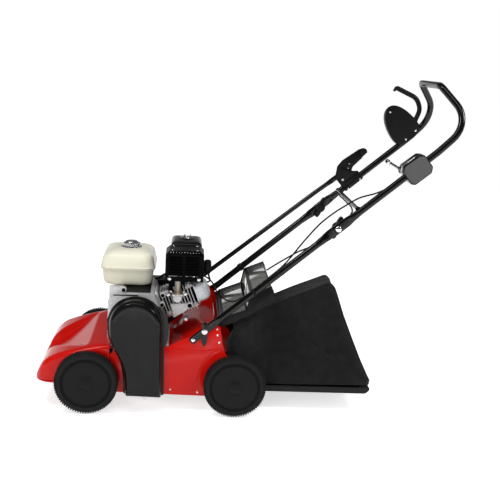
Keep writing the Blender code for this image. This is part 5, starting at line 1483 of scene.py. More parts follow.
def knife_blades():
    """Ten star blades on the shaft, each turned on from the last, with spacers between them."""
    arm = [
        (0.027, -52), (0.0262, -38), (0.05, -22), (0.0745, -10), (0.08, -4), (0.0828, 3), (0.07, 4),
        (0.042, 10),
    ]
    spacer = [
        (0, -0.0365), (0.0205, -0.0365), (0.022, -0.035), (0.022, -0.0065), (0.0205, -0.0055), (0, -0.0055),
    ]
    shapes = []
    for index in range(10):
        y = -0.171 + 0.038 * index
        outline = [
            polar(ROTOR, r, 30 * index + quarter + angle) for quarter in range(0, 360, 90) for r, angle in arm
        ]
        shapes.append(prism(outline, y - 0.0015, y + 0.0015, 0.0005, 1))
        shapes.append(bolt(at(ROTOR[0], y - 0.0016, ROTOR[1]), LEFT, 0.015, 0.004, False, phase=index))
        if index:
            shapes.append(turned(spacer, at(ROTOR[0], y, ROTOR[1]), 40))
    return merge(*shapes)


class SCARIFIER_OT_drive(bpy.types.Operator):
    """Build the knives, pulleys and the belt cover with its backplate"""
    bl_idname = "scarifier.drive"
    bl_label = "Rotor and drive"

    def execute(self, context):
        finish("knife_set", knife_blades(), "machined", "knife_stack", 30, "rotor")
        small, large = pulley_shape(CRANK, 0.026, 0.0098), pulley_shape(ROTOR, 0.029, 0.0078)
        finish("rotor_pulley_turned", large, "cast_aluminium", "rotor_pulley", 30, "rotor")
        finish("engine_pulley_turned", small, "cast_aluminium", "engine_pulley", 30, "engine_shaft")
        finish("belt_cover_moulding", belt_cover_shape(), "glossy_plastic", "belt_cover")
        finish("belt_cover_beads", cover_beads(), "glossy_plastic", sharp=60)
        finish("belt_cover_screws", cover_screws(), "black_paint")
        # The backplate carries a black wing that paints the shade beside the cylinder.
        finish("belt_cover_backplate", backplate(), "black_paint", "belt_backplate", 30)
        return {"FINISHED"}


ROUND = (TUBE_RADIUS, TUBE_RADIUS)


def eased_stations(stations, steps=5):
    """More stations of distance, width, depth and inward shift, with soft changes of section."""
    result = []
    for first, second in zip(stations, stations[1:]):
        for t in (step / steps for step in range(steps)):
            sizes = (a + (b - a) * ease(t) for a, b in zip(first[1:], second[1:]))
            result.append((first[0] + (second[0] - first[0]) * t, *sizes))
    return result + [stations[-1]]


def half_upper_handle(steps=10):
    """Centre line of the upper handle from its straight left leg to the middle of the top bar."""
    corners = [
        on_handle(0.1, 0.0, -TUBE_Y), at(UPPER_LEG_END[0], -TUBE_Y, UPPER_LEG_END[1]),
        at(1.155, -TUBE_Y, 0.958), at(1.072, -TOP_BAR_HALF, 1.0623), at(1.072, 0.0, 1.0623),
    ]
    return bent_path(corners, [0.3, 0.085, 0.03], steps)


def lower_tube(sign):
    """A lower tube from its flattened foot to its flattened fold end."""
    length = (Vector(FOLD_PIVOT) - Vector(HANDLE_FOOT)).length
    stations = [
        (-0.013, 0.006, 0.0018, -0.0063), (-0.0115, 0.0095, 0.0021, -0.0063),
        (-0.008, 0.012, 0.0023, -0.0063), (0.084, 0.0125, 0.0023, -0.0063), (0.104, 0.0115, 0.01, -0.001),
        (0.116, *ROUND, 0.0), (length - 0.085, *ROUND, 0.0), (length - 0.06, 0.0125, 0.008, 0.0018),
        (length - 0.034, 0.015, 0.0028, 0.004), (length + 0.012, 0.015, 0.0028, 0.004),
        (length + 0.017, 0.013, 0.0028, 0.004), (length + 0.02, 0.008, 0.0024, 0.004),
    ]
    return bar([
        (on_handle(length - distance, 0.0, sign * (TUBE_Y - inward), True), wide, deep)
        for distance, wide, deep, inward in eased_stations(stations)
    ])


def upper_bow():
    """The folding handle: flattened ends, long legs, rear bends and the top bar."""
    stations = [
        (-0.02, 0.007, 0.0023, -0.003), (-0.0185, 0.011, 0.0026, -0.003), (-0.014, 0.0148, 0.0028, -0.003),
        (0.034, 0.015, 0.0028, -0.003), (0.06, 0.0125, 0.008, -0.0012), (0.085, *ROUND, 0.0),
    ]
    half = [
        (on_handle(distance, 0.0, inward - TUBE_Y), wide, deep)
        for distance, wide, deep, inward in eased_stations(stations)
    ] + [(place, *ROUND) for place in half_upper_handle()[1:]]
    bow = bar(half + [(Vector((p.x, -p.y, p.z)), *size) for p, *size in reversed(half[:-1])])
    for vert in bow.verts:
        vert.co.x = min(vert.co.x, CAD_HIGH.x - 0.0001)
        vert.co.z = min(vert.co.z, CAD_HIGH.z - 0.0001)
    return bow


def strap_shape(sign):
    """The pointed steel strap that ties the tube's foot to the side plate."""
    line = [(0, -0.052), (0.009, -0.034), (0.009, 0.025), (0, 0.034), (-0.009, 0.025), (-0.009, -0.034)]
    outline = rounded([(0.364 + x, 0.267 + z) for x, z in line], 0.003, 3)
    return prism(outline, sign * 0.219, sign * 0.224, 0.0008)


def collar(distance, sign, length=0.016):
    """A plastic clip round a lower tube, with a small ridge."""
    half, radius = length / 2, TUBE_RADIUS + 0.0022
    ridge = ((-half, -0.0008), (0.001 - half, 0), (0, 0.0006), (half - 0.001, 0), (half, -0.0008))
    return bar([
        (on_handle(distance + shift, 0.0, sign * TUBE_Y, True), radius + grow, radius + grow)
        for shift, grow in ridge
    ])


def at_fold(profile, sign, steps):
    """A (radius, y) profile spun about the fold's bolt."""
    return turned([(r, sign * y) for r, y in profile], at(FOLD_PIVOT[0], 0, FOLD_PIVOT[1]), steps)


def fold_bolt(sign):
    """Dome-headed carriage bolt through both tubes."""
    return at_fold([
        (0, 0.184), (0.004, 0.184), (0.004, 0.2206), (0.0104, 0.2206), (0.0104, 0.2214), (0.0096, 0.2232),
        (0.0078, 0.225), (0.0052, 0.2263), (0.0025, 0.2269), (0, 0.227),
    ], sign, 36)


def powered(value, power):
    """A value to a power, with its sign kept."""
    return math.copysign(abs(value) ** power, value)


def fold_knob(sign):
    """Moulded wing knob on the inner end of the bolt: two long lobes and a round boss."""
    hub, tilt = 0.0155, math.radians(70)
    outline = []
    for step in range(64):
        c, s = math.cos(math.tau * step / 64), math.sin(math.tau * step / 64)
        u = (0.011 + 0.026 * abs(c) ** 5) * powered(c, 0.7)
        v = 0.013 * powered(s, 0.55) * (0.8 + 0.2 * c ** 2)
        outline.append((u * math.cos(tilt) - v * math.sin(tilt), u * math.sin(tilt) + v * math.cos(tilt)))
    loops = [
        [at(FOLD_PIVOT[0] + x * share, sign * y, FOLD_PIVOT[1] + z * share) for x, z in outline]
        for y, share in (
            (0.2043, 0.86), (0.2036, 0.95), (0.202, 0.99), (0.2, 1.0), (0.189, 1.0), (0.1866, 0.99),
            (0.185, 0.95), (0.1842, 0.86),
        )
    ]
    middle = [
        (0, 0.2044), (hub - 0.001, 0.2044), (hub, 0.2036), (hub, 0.1815), (hub - 0.0016, 0.1803),
        (0.008, 0.18), (0.0076, 0.1812), (0, 0.1812),
    ]
    return merge(loft(loops), at_fold(middle, sign, 40))


class SCARIFIER_OT_handles(bpy.types.Operator):
    """Build the lower tubes, the folding upper handle, its crossbar, straps, bolts, knobs and clips"""
    bl_idname = "scarifier.handles"
    bl_label = "Handles"

    def execute(self, context):
        for side, sign in SIDES:
            finish(f"lower_tube_{side}", lower_tube(sign), "black_paint", f"lower_handle_{side}", 50)
            finish(f"tube_strap_{side}", strap_shape(sign), "black_paint")
            heads = merge(
                bolt(at(0.364, sign * 0.224, 0.267), (0, sign, 0), 0.0062, 0.0042),
                bolt(on_handle(0.5745, 0.0, sign * 0.2209, True), (0, sign, 0), 0.0042, 0.003),
            )
            finish(f"tube_foot_bolts_{side}", heads, "bright_steel")
            finish(f"fold_bolt_dome_{side}", fold_bolt(sign), "chrome", f"fold_bolt_{side}", 45)
            finish(f"fold_knob_{side}", fold_knob(sign), "black_plastic", sharp=60)
        finish("handle_bow", upper_bow(), "black_paint", "upper_handle", 60, "handle")
        reach = TUBE_Y - TUBE_RADIUS - 0.0003
        half = [(-reach, 0.0085), (0.002 - reach, 0.008), (0.012 - reach, 0.0065)]
        rows = half + [(-y, radius) for y, radius in reversed(half)]
        cross = sweep([at(0.8256, y, 0.674) for y, _ in rows], [r for _, r in rows], sides=24, thick_axis=UP)
        finish("handle_crossbar", cross, "black_paint", "crossbar", 50, "handle")
        finish("tube_collar_right", collar(0.356, 1), "black_plastic", sharp=60)
        finish("tube_clip_left", collar(0.33, -1, 0.01), "black_plastic", sharp=60)
        return {"FINISHED"}


CLUTCH_LINE = [
    (0.9725, 0.93), (0.9745, 0.956), (0.989, 0.9745), (1.012, 0.979), (1.04, 0.968), (1.065, 0.95),
    (1.086, 0.931), (1.0985, 0.908), (1.09, 0.882), (1.067, 0.86), (1.036, 0.843), (1.019, 0.848),
    (1.0000, 0.868), (0.982, 0.899),
]
CLUTCH_MIDDLE = (1.034, 0.912)
BOX_MIDDLE = 0.3
BOX_SHAPE = [
    (-0.042, -0.0225), (-0.033, -0.032), (0.03, -0.033), (0.045, -0.02), (0.045, 0.026), (0.033, 0.035),
    (-0.028, 0.0375), (-0.042, 0.024),
]
LEVER_PIVOT = (0.8393, 0.7119)
CRANK_PIVOT = (-0.0512, 0.109)
ROD_KNEE = (0.36, 0.3404)
ROD_Y = 0.22


def pillow(line, centre, stations):
    """A case lofted across the machine from one outline; a station is its y and its share of the outline."""
    return loft([[at(x, y, z) for x, z in scaled_line(line, centre, share)] for y, share in stations])


def clutch_case():
    """Egg-shaped case clamped round the right tube, in two halves with a parting line and a raised face."""
    stations = [
        (0.1962, 0.955), (0.1972, 0.978), (0.1995, 0.992), (0.203, 0.998), (0.2114, 1.0), (0.2116, 0.99),
        (0.2126, 0.99), (0.2128, 1.0), (0.222, 0.998), (0.2252, 0.99), (0.227, 0.975), (0.228, 0.95),
    ]
    leg = [Vector((p.x, -p.y, p.z)) for p in half_upper_handle(6)[:11]]
    slot = [(1.13, 0.9), (1.075, 0.902), (1.055, 0.93), (1.06, 1.0000), (1.14, 1.0000)]
    case = carved(pillow(smooth_loop(CLUTCH_LINE), CLUTCH_MIDDLE, stations), prism(slot, 0.2045, 0.2195))
    return carved(case, sweep(leg, TUBE_RADIUS + 0.001, sides=28))


def clutch_screws():
    cup = [(0, -0.0004), (0.0058, -0.0004), (0.0058, 0.0006), (0.0046, 0.0006), (0, 0.0006)]
    shapes = []
    for x, z in ((0.989, 0.956), (1.084, 0.896), (1.052, 0.864)):
        shapes += [
            turned(cup, at(x, 0.197, z), 20, LEFT), screw(at(x, 0.1964, z), LEFT, 0.0036, 0.0016),
            screw(at(x, 0.2266, z), RIGHT, 0.0036, 0.002),
        ]
    return merge(*shapes)


def clutch_lever_shape():
    """The hooked lever, wider through its grip and drawn thin at the crook."""
    line = [(1.072, 0.918), (1.083, 0.93), (1.0975, 0.97), (1.082, 1.008), (1.008, 1.04), (0.998, 1.029)]
    path = bent_path([at(x, 0.212, z) for x, z in line], [0.012, 0.042, 0.045, 0.004], 9)
    dense = []
    for a, b in zip(path, path[1:]):
        pieces = max(1, round((b - a).length / 0.005))
        dense += [a.lerp(b, k / pieces) for k in range(pieces)]
    dense.append(path[-1])
    last = len(dense) - 1
    stations = []
    for index, place in enumerate(dense):
        t = index / last
        wide = 0.0064 + 0.0021 * ease(t / 0.12) - 0.0015 * ease((t - 0.78) / 0.12)
        end = min(1.0, 0.55 + (last - index) * 0.22)
        stations.append((place, wide * end, 0.005 * min(1.0, end + 0.1)))
    return bar(stations, 20)


def box_place(along, above):
    """An (x, z) place from the throttle box's middle, along the left tube and above it."""
    run, up = tube_ways()
    return tuple(Vector(FOLD_PIVOT) + run * BOX_MIDDLE + run * along + up * above)


def throttle_pillow(stations):
    line = rounded([box_place(*p) for p in BOX_SHAPE], 0.0115, 6)
    return pillow(line, box_place(0, 0), stations)


def throttle_case():
    """Moulded box: dark sides, a parting line and a rim round a sunk face."""
    case = throttle_pillow([
        (-0.1862, 0.96), (-0.1872, 0.985), (-0.19, 0.996), (-0.2118, 1.0), (-0.212, 0.982), (-0.2132, 0.982),
        (-0.2134, 1.0), (-0.238, 0.996), (-0.242, 0.988), (-0.2448, 0.97), (-0.2456, 0.945), (-0.2458, 0.925),
        (-0.2448, 0.915), (-0.2446, 0.88), (-0.2446, 0.4),
    ])
    channel = [on_handle(0.22, 0.0, -TUBE_Y), on_handle(0.38, 0.0, -TUBE_Y)]
    return carved(case, sweep(channel, TUBE_RADIUS + 0.0006, sides=28))


def throttle_trim():
    """Plated strip along the box's upper edge."""
    ends = [box_place(*p) for p in ((-0.0405, 0.0235), (-0.029, 0.0362), (0.018, 0.0362))]
    return sweep(bent_path([at(x, -0.224, z) for x, z in ends], [0.006], 5), 0.0022, 0.006, 10)


def throttle_lever_shapes():
    """Plated arm on a round hub, and its moulded tip."""
    hinge, tip = Vector(box_place(-0.0354, 0.0188)), Vector(box_place(-0.0506, 0.0636))
    along = (tip - hinge).normalized()
    side = Vector((-along.y, along.x))
    heading = math.degrees(math.atan2(along.y, along.x))
    outline = [polar(hinge, 0.008, heading + 60 + 12 * k) for k in range(21)]
    outline += [polar(tip, 0.0046, heading - 90 + 12 * k) for k in range(16)]
    corners = [(-0.0105, -0.0062), (0.01, -0.007), (0.0105, 0.005), (-0.0095, 0.0066)]
    square = [(-0.006, -0.0078), (0.006, -0.0078), (0.006, 0.0074), (-0.006, 0.0074)]
    line, edge = ([tuple(tip + along * u + side * v) for u, v in shape] for shape in (corners, square))
    grip = prism(rounded(line, 0.0036, 5), -0.1857, -0.176, 0.0022, 3)
    barrel = prism(rounded(edge, 0.003, 4), -0.1866, -0.1752, 0.002, 3)
    hub = [(0, -0.1857), (0.0088, -0.1857), (0.0088, -0.1824), (0.007, -0.1808), (0, -0.1802)]
    arm = merge(prism(outline, -0.1857, -0.1832, 0.0006), turned(hub, at(hinge.x, 0, hinge.y), 36), barrel)
    return arm, grip


class SCARIFIER_OT_controls(bpy.types.Operator):
    """Build the clutch case with its lever and the throttle box with its lever"""
    bl_idname = "scarifier.controls"
    bl_label = "Controls"

    def execute(self, context):
        finish("clutch_case", clutch_case(), "black_plastic", "clutch_housing", 30, "handle")
        finish("clutch_case_screws", clutch_screws(), "bright_steel", body="handle")
        finish("clutch_lever_hook", clutch_lever_shape(), "black_plastic", "clutch_lever", 60, "bail")
        finish("throttle_case", throttle_case(), "glossy_plastic", "control_box", 30, "handle")
        face = [
            (-0.244, 0.905), (-0.2458, 0.905), (-0.2468, 0.89), (-0.2474, 0.85), (-0.2477, 0.74),
            (-0.2479, 0.4),
        ]
        finish("throttle_face", throttle_pillow(face), "grey_plastic", sharp=30, body="handle")
        finish("throttle_trim", throttle_trim(), "bright_steel", sharp=40, body="handle")
        arm, grip = throttle_lever_shapes()
        finish("throttle_arm", arm, "chrome", "throttle_lever", body="speed_lever")
        finish("throttle_tip", grip, "black_plastic", body="speed_lever")
        make_depth_linkage()
        return {"FINISHED"}


def bracket_place(u, v):
    """An (x, z) place along and above the tube, from the depth bracket's lower end."""
    run, up = tube_ways()
    return tuple(Vector((0.842, 0.679)) + run * u + up * v)


def depth_pin(pivot_place):
    """Where the depth rod's pin sits from a pivot: square to the line between both pivots."""
    line = Vector(LEVER_PIVOT) - Vector(CRANK_PIVOT)
    return tuple(Vector(pivot_place) + Vector((-line.y, line.x)).normalized() * 0.018)


def depth_bracket():
    """Clamp round the right tube with a toothed ear beside the lever."""
    sleeve = [(0.003, -0.0145), (0.082, -0.0145), (0.082, 0.015), (0.003, 0.015)]
    clamp = prism(rounded([bracket_place(*p) for p in sleeve], 0.006, 4), 0.1978, 0.2278, 0.003, 3)
    leg = tube_ways()[0]
    first = math.degrees(math.atan2(leg.y, leg.x)) + 82
    teeth = [
        polar(bracket_place(0.022, 0.022), radius, first - 11 * step - back)
        for step in range(7) for back, radius in ((0, 0.0415), (4, 0.0452), (7, 0.0452))
    ]
    ear = [bracket_place(*p) for p in ((0.003, 0.008), (0.08, 0.008), (0.082, 0.018))] + teeth[::-1]
    return merge(
        carved(clamp, sweep([on_handle(0.095), on_handle(0.21)], TUBE_RADIUS + 0.0006, sides=28)),
        prism(ear + [bracket_place(0.002, 0.044)], 0.2022, 0.2068, 0.0008),
    )


def depth_lever_shape():
    """Moulded quadrant lever: a cheek with a raised middle, a thumb knob and its pin."""
    outline = [
        (0.006, 0.019), (0.046, 0.019), (0.076, 0.04), (0.118, 0.044), (0.146, 0.052), (0.148, 0.06),
        (0.146, 0.068), (0.13, 0.076), (0.06, 0.081), (0.033, 0.075), (0.004, 0.049),
    ]
    corners = [0.006, 0.008, 0.012, 0.012, 0.004, 0.002, 0.004, 0.008, 0.016, 0.012, 0.01]
    line = rounded([bracket_place(*p) for p in outline], corners, 5)
    knob = [(0.12, 0.048), (0.146, 0.05), (0.1495, 0.057), (0.149, 0.065), (0.14, 0.07), (0.124, 0.069)]
    pin_x, pin_z = depth_pin(LEVER_PIVOT)
    pin = [(0, 0.21), (0.004, 0.21), (0.004, 0.2192), (0.0034, 0.2199), (0, 0.2199)]
    return merge(
        prism(line, 0.2074, 0.2124, 0.0012),
        prism(scaled_line(line, bracket_place(0.06, 0.052), 0.86), 0.2066, 0.208, 0.0008),
        prism(rounded([bracket_place(*p) for p in knob], 0.0048, 5), 0.1962, 0.2298, 0.0038, 4),
        turned(pin, at(pin_x, 0, pin_z), 24),
    )


def depth_rod_shape():
    """The long pressed-end rod from the lever's pin down past the knee to the axle crank."""
    low, knee, high = Vector(depth_pin(CRANK_PIVOT)), Vector(ROD_KNEE), Vector(depth_pin(LEVER_PIVOT))
    first, second = (knee - low).normalized(), (high - knee).normalized()
    full = (0.008, 0.008, ROD_Y)
    stations = [
        (low - first * 0.009, 0.003, 0.0014, 0.224), (low - first * 0.008, 0.006, 0.0017, 0.224),
        (low - first * 0.005, 0.008, 0.0018, 0.224), (low + first * 0.18, 0.008, 0.0018, 0.224),
        (low + first * 0.205, 0.008, 0.006, 0.2218), (low + first * 0.23, *full),
        (knee - first * 0.03, *full), (knee - first * 0.01 + second * 0.001, *full),
        (knee + second * 0.01 - first * 0.001, *full), (knee + second * 0.03, *full),
        (high - second * 0.11, 0.008, 0.008, 0.2225), (high - second * 0.06, 0.008, 0.005, 0.218),
        (high - second * 0.036, 0.009, 0.002, 0.215), (high - second * 0.01, 0.009, 0.0019, 0.215),
    ]
    stations = eased_stations(stations, 4)
    rod = bar([(at(spot.x, y, spot.y), wide, deep) for spot, wide, deep, y in stations], 24)
    eye = [
        (0.0048, 0.2131), (0.0122, 0.2131), (0.013, 0.2136), (0.013, 0.2164), (0.0122, 0.2169),
        (0.0048, 0.2169), (0.0048, 0.2131),
    ]
    arm = (high - Vector(FOLD_PIVOT)).normalized()
    open_end = high + Vector((arm.y, -arm.x)) * 0.03
    narrow, wide = (
        prism([tuple(p) for p in (high + side, high - side, open_end - side, open_end + side)], 0.205, 0.23)
        for side in (arm * 0.0048, arm * 0.0048 * 2.4)
    )
    hole = turned([(0, 0.2), (0.0046, 0.2), (0.0046, 0.24), (0, 0.24)], at(low.x, 0, low.y), 24)
    hook = carved(turned(eye, at(high.x, 0, high.y), 40), narrow)
    return merge(carved(rod, merge(wide, hole)), hook)


def make_depth_linkage():
    """Bracket, lever and rod that raise and lower the front axle, with their bolts."""
    finish("depth_clamp", depth_bracket(), "black_plastic", "lever_bracket", 30, "handle")
    finish("depth_quadrant", depth_lever_shape(), "black_plastic", "depth_lever", 32, "height_lever")
    x, z = LEVER_PIVOT
    rows = [
        [bracket_place(*p) for p in row]
        for row in (((0.06, 0.046), (0.072, 0.056)), ((0.016, -0.01), (0.068, -0.01)))
    ]
    lever_bolts = merge(
        turned([(0, 0.2), (0.0042, 0.2), (0.0042, 0.21), (0, 0.21)], at(x, 0, z), 20),
        bolt(at(x, 0.2004, z), LEFT, 0.0046, 0.003, False),
        *(screw(at(px, 0.2066, pz), LEFT, 0.0022, 0.0012) for px, pz in rows[0]),
    )
    finish("depth_lever_bolts", lever_bolts, "bright_steel", body="height_lever")
    clamp_screws = [screw(at(px, 0.198, pz), LEFT, 0.0036, 0.0018) for px, pz in rows[1]]
    finish("depth_clamp_screws", merge(*clamp_screws), "bright_steel", body="handle")
    finish("depth_rod_pressed", depth_rod_shape(), "black_paint", "depth_rod", 50, "height_rod")
    low_x, low_z = depth_pin(CRANK_PIVOT)
    clip = [(0, 0.2262), (0.0068, 0.2262), (0.0068, 0.2272), (0.0042, 0.2276), (0, 0.228)]
    finish("depth_rod_clip", turned(clip, at(low_x, 0, low_z), 24), "bright_steel", body="axle_crank")


def places(*points):
    return [at(*point) for point in points]


def cable_routes():
    """The throttle and clutch cables' points, as the frame has them."""
    throttle = [
        on_handle(0.246, 0.003, -0.1965), on_handle(0.2, 0.003, -0.1965), on_handle(0.16, 0.012, -0.195),
        *places(
            (0.83, -0.192, 0.708), (0.7857, -0.19, 0.6802), (0.748, -0.19, 0.653), (0.711, -0.19, 0.62),
            (0.68, -0.19, 0.583), (0.6525, -0.19, 0.5473), (0.628, -0.19, 0.513), (0.6, -0.1905, 0.479),
            (0.56, -0.191, 0.442), (0.525, -0.19, 0.411), (0.502, -0.182, 0.385), (0.481, -0.17, 0.3692),
            (0.4528, -0.14, 0.3462), (0.4238, -0.06, 0.3353), (0.403, -0.045, 0.354), (0.387, -0.03, 0.3811),
            (0.364, -0.005, 0.393), (0.334, 0.012, 0.398), (0.307, 0.02, 0.4),
        ),
    ]
    clutch = [
        on_handle(0.342, -0.001, 0.193), on_handle(0.3, -0.001, 0.1925), on_handle(0.2, 0.0, 0.195),
        on_handle(0.11, -0.002, 0.19),
        *places(
            (0.827, 0.16, 0.6625), (0.825, 0.1, 0.6625), (0.824, 0.0000, 0.6625), (0.823, -0.1, 0.662),
            (0.815, -0.15, 0.65),
        ),
        on_handle(0.02, -0.006, -0.172), on_handle(0.04, -0.004, -0.174, True),
        on_handle(0.085, -0.002, -0.19, True), on_handle(0.115, 0.006, -0.193, True),
        on_handle(0.145, 0.014, -0.19, True),
        *places((0.625, -0.178, 0.511), (0.59, -0.16, 0.483), (0.556, -0.148, 0.456)),
    ]
    return throttle, clutch


class SCARIFIER_OT_cables(bpy.types.Operator):
    """Run the two control cables along the handle"""
    bl_idname = "scarifier.cables"
    bl_label = "Control cables"

    def execute(self, context):
        start, end = (at(FOLD_PIVOT[0] + way * 0.034, 0, FOLD_PIVOT[1] + way * 0.029) for way in (1, -1))
        for name, route in zip(("throttle", "clutch"), cable_routes()):
            line = sweep(smooth_path(route, 0.006), 0.0026, sides=12)
            jacket = finish(f"{name}_cable_jacket", line, "cable_plastic", f"{name}_cable", 60, None)
            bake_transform(jacket)
        return {"FINISHED"}


FLAP_HALF = 0.1835
PANEL_HALF = 0.177


def lifted(start, end, lift):
    """Two (x, z) places moved off their own line to its upper side."""
    start, end = Vector(start), Vector(end)
    run = (end - start).normalized()
    up = Vector((-run.y, run.x)) * lift
    return start + up, end + up


def step_panel(start, end, thickness=0.0022):
    """A flat panel between two (x, z) places, laid a little proud of the moulding under it."""
    a, b = lifted(start, end, 0.0016)
    low_a, low_b = lifted(start, end, 0.0016 - thickness)
    line = rounded([tuple(p) for p in (a, b, low_b, low_a)], thickness * 0.3, 2)
    return prism(line, -PANEL_HALF, PANEL_HALF, 0.0008)


def flap_frame():
    """Black surround: both side walls, the two rims and the back edge."""
    side_line = rounded([
        (0.406, 0.289), (0.4177, 0.298), (0.498, 0.33), (0.508, 0.381), (0.575, 0.409), (0.59, 0.364),
        (0.4514, 0.286), (0.412, 0.272),
    ], [0.002, 0.004, 0.007, 0.009, 0.009, 0.004, 0.003, 0.003], 4)
    lip = [(0.418, 0.2975), (0.4975, 0.3292), (0.5075, 0.3802), (0.574, 0.408)]
    spine = [
        (0.409, 0.285), (0.4185, 0.2968), (0.4975, 0.3284), (0.5085, 0.3795), (0.574, 0.4072), (0.588, 0.365),
    ]
    shapes = []
    for sign in (-1, 1):
        y0, y1 = sorted((sign * 0.1858, sign * 0.1828))
        path = bent_path([at(x, sign * 0.1828, z) for x, z in lip], [0.007, 0.009], 6)
        shapes += [prism(side_line, y0, y1, 0.0009), sweep(path, 0.0034, sides=10)]
    top = bent_path([at(x, 0, z) for x, z in spine], [0.003, 0.007, 0.009, 0.009], 6)
    outline = [(p.x - FRONT_AXLE_X, p.z) for p in top]
    hinge_tube = [(0, -0.178), (0.006, -0.178), (0.006, 0.178), (0, 0.178)]
    hinge = turned(hinge_tube, at(0.413, 0, 0.2855), 24)
    return merge(*shapes, bent_sheet(outline, FLAP_HALF, 0.0024, 8), hinge)


def flap_ribs():
    """A raised border round each tread."""
    shapes = []
    for ends in (((0.4235, 0.3005), (0.4945, 0.3288)), ((0.514, 0.3836), (0.57, 0.407))):
        a, b = lifted(*ends, 0.001)
        corner = [at(p.x, side * 0.179, p.y) for p, side in ((a, -1), (a, 1), (b, 1), (b, -1), (a, -1))]
        for pair in zip(corner, corner[1:]):
            shapes.append(sweep(list(pair), 0.0019, sides=8, thick_axis=(0.3, 0, 0.95)))
    return merge(*shapes)


CLOTH_LINE = [
    (0.486, 0.0805), (0.9095, 0.0855), (0.914, 0.099), (0.9026, 0.12), (0.8792, 0.168), (0.8522, 0.2312),
    (0.8247, 0.2982), (0.8043, 0.3588), (0.795, 0.3842), (0.7798, 0.4), (0.7292, 0.3792), (0.6673, 0.3537),
    (0.6055, 0.3247), (0.455, 0.2636), (0.437, 0.2295), (0.4428, 0.1752), (0.4858, 0.1252),
]
CLOTH_BENDS = [
    0.002, 0.004, 0.01, 0.03, 0.05, 0.05, 0.05, 0.05, 0.01, 0.01, 0.08, 0.08, 0.08, 0.004, 0.01, 0.02, 0.01,
]
CLOTH_MIDDLE = Vector((0.7, 0.22))
HANGING_FOLDS = (
    (0.56, 0.16, 0.02, 0.003), (0.625, 0.2, 0.026, 0.0034), (0.7, 0.24, 0.03, 0.0026),
    (0.765, 0.3, 0.022, 0.003),
)
CREASES = (
    ((0.675, 0.235), (0.79, 0.172), 0.005, 0.0036), ((0.8, 0.196), (0.862, 0.146), 0.0045, 0.0034),
    ((0.79, 0.1275), (0.85, 0.122), 0.004, 0.0024), ((0.56, 0.15), (0.68, 0.118), 0.006, 0.003),
    ((0.52, 0.215), (0.64, 0.19), 0.007, 0.0028),
)


def bag_half(x, z):
    """Half width of the bag at a place: full at its tray and mouth, drawn in to a narrow ridge on top."""
    ridge = 0.326 + 0.404 * (min(x, 0.79) - 0.605)
    rise = min(1.0, max(0.0, (z - 0.08) / (ridge - 0.08)))
    return 0.1846 - 0.125 * rise * ease((x - 0.45) / 0.15)


def cloth_loop(spacing):
    """The cloth's outline with rounded corners, read at even steps."""
    closed = [Vector(p) for p in rounded(CLOTH_LINE, CLOTH_BENDS, 6)]
    closed.append(closed[0])
    length = sum((b - a).length for a, b in zip(closed, closed[1:]))
    count = round(length / spacing)
    result, walked, goal = [], 0.0, 0.0
    for a, b in zip(closed, closed[1:]):
        step = (b - a).length
        while walked + step >= goal and len(result) < count:
            result.append(a.lerp(b, 0 if step < 1e-9 else (goal - walked) / step))
            goal += length / count
        walked += step
    return result


def slack():
    """How slack the cloth is, from the sidebar's sag."""
    return bpy.context.scene.scarifier_sizes.sag / 0.006


def fold_depth(x, z):
    """How far the side fabric falls in from its plane: hanging folds, and creases above the tray's rear."""
    wave = 0.0
    for along, lean, width, depth in HANGING_FOLDS:
        away = (x - along - lean * (0.26 - z)) / width
        wave += depth * math.exp(-away * away) * (0.6 + 0.4 * math.sin(z * 31 + along * 90))
    for start, end, width, depth in CREASES:
        run = Vector(end) - Vector(start)
        away = Vector((x, z)) - Vector(start)
        share = away.dot(run) / run.length_squared
        off = (away - run * share).length / width
        wave += depth * math.exp(-off * off) * ease((share + 0.15) / 0.3) * ease((1.15 - share) / 0.3)
    wave -= 0.003 * math.sin(min(1.0, max(0.0, (z - 0.088) / 0.28)) * math.pi) * ease((x - 0.48) / 0.12)
    return wave * slack()


def belt_of_faces(bm, first, second):
    """Faces between two closed rows of vertices."""
    for i in range(len(first)):
        j = (i + 1) % len(first)
        bm.faces.new((first[i], first[j], second[j], second[i]))


def side_rings(bm, loop, sign, steps=16):
    """Rows of vertices from a side's outline in to its middle, with a soft edge and the folds."""
    edge_round = 0.01
    rows = []
    for step in range(steps):
        row = []
        for edge in loop:
            p = CLOTH_MIDDLE + (edge - CLOTH_MIDDLE) * (1 - step / steps)
            from_edge = (p - edge).length
            drop = edge_round * (1 - math.sqrt(max(0.0, 1 - (1 - min(1.0, from_edge / edge_round)) ** 2)))
            inward = fold_depth(p.x, p.y) * ease(from_edge / 0.03)
            row.append(bm.verts.new(at(p.x, sign * (bag_half(p.x, p.y) - drop - inward), p.y)))
        rows.append(row)
    return rows


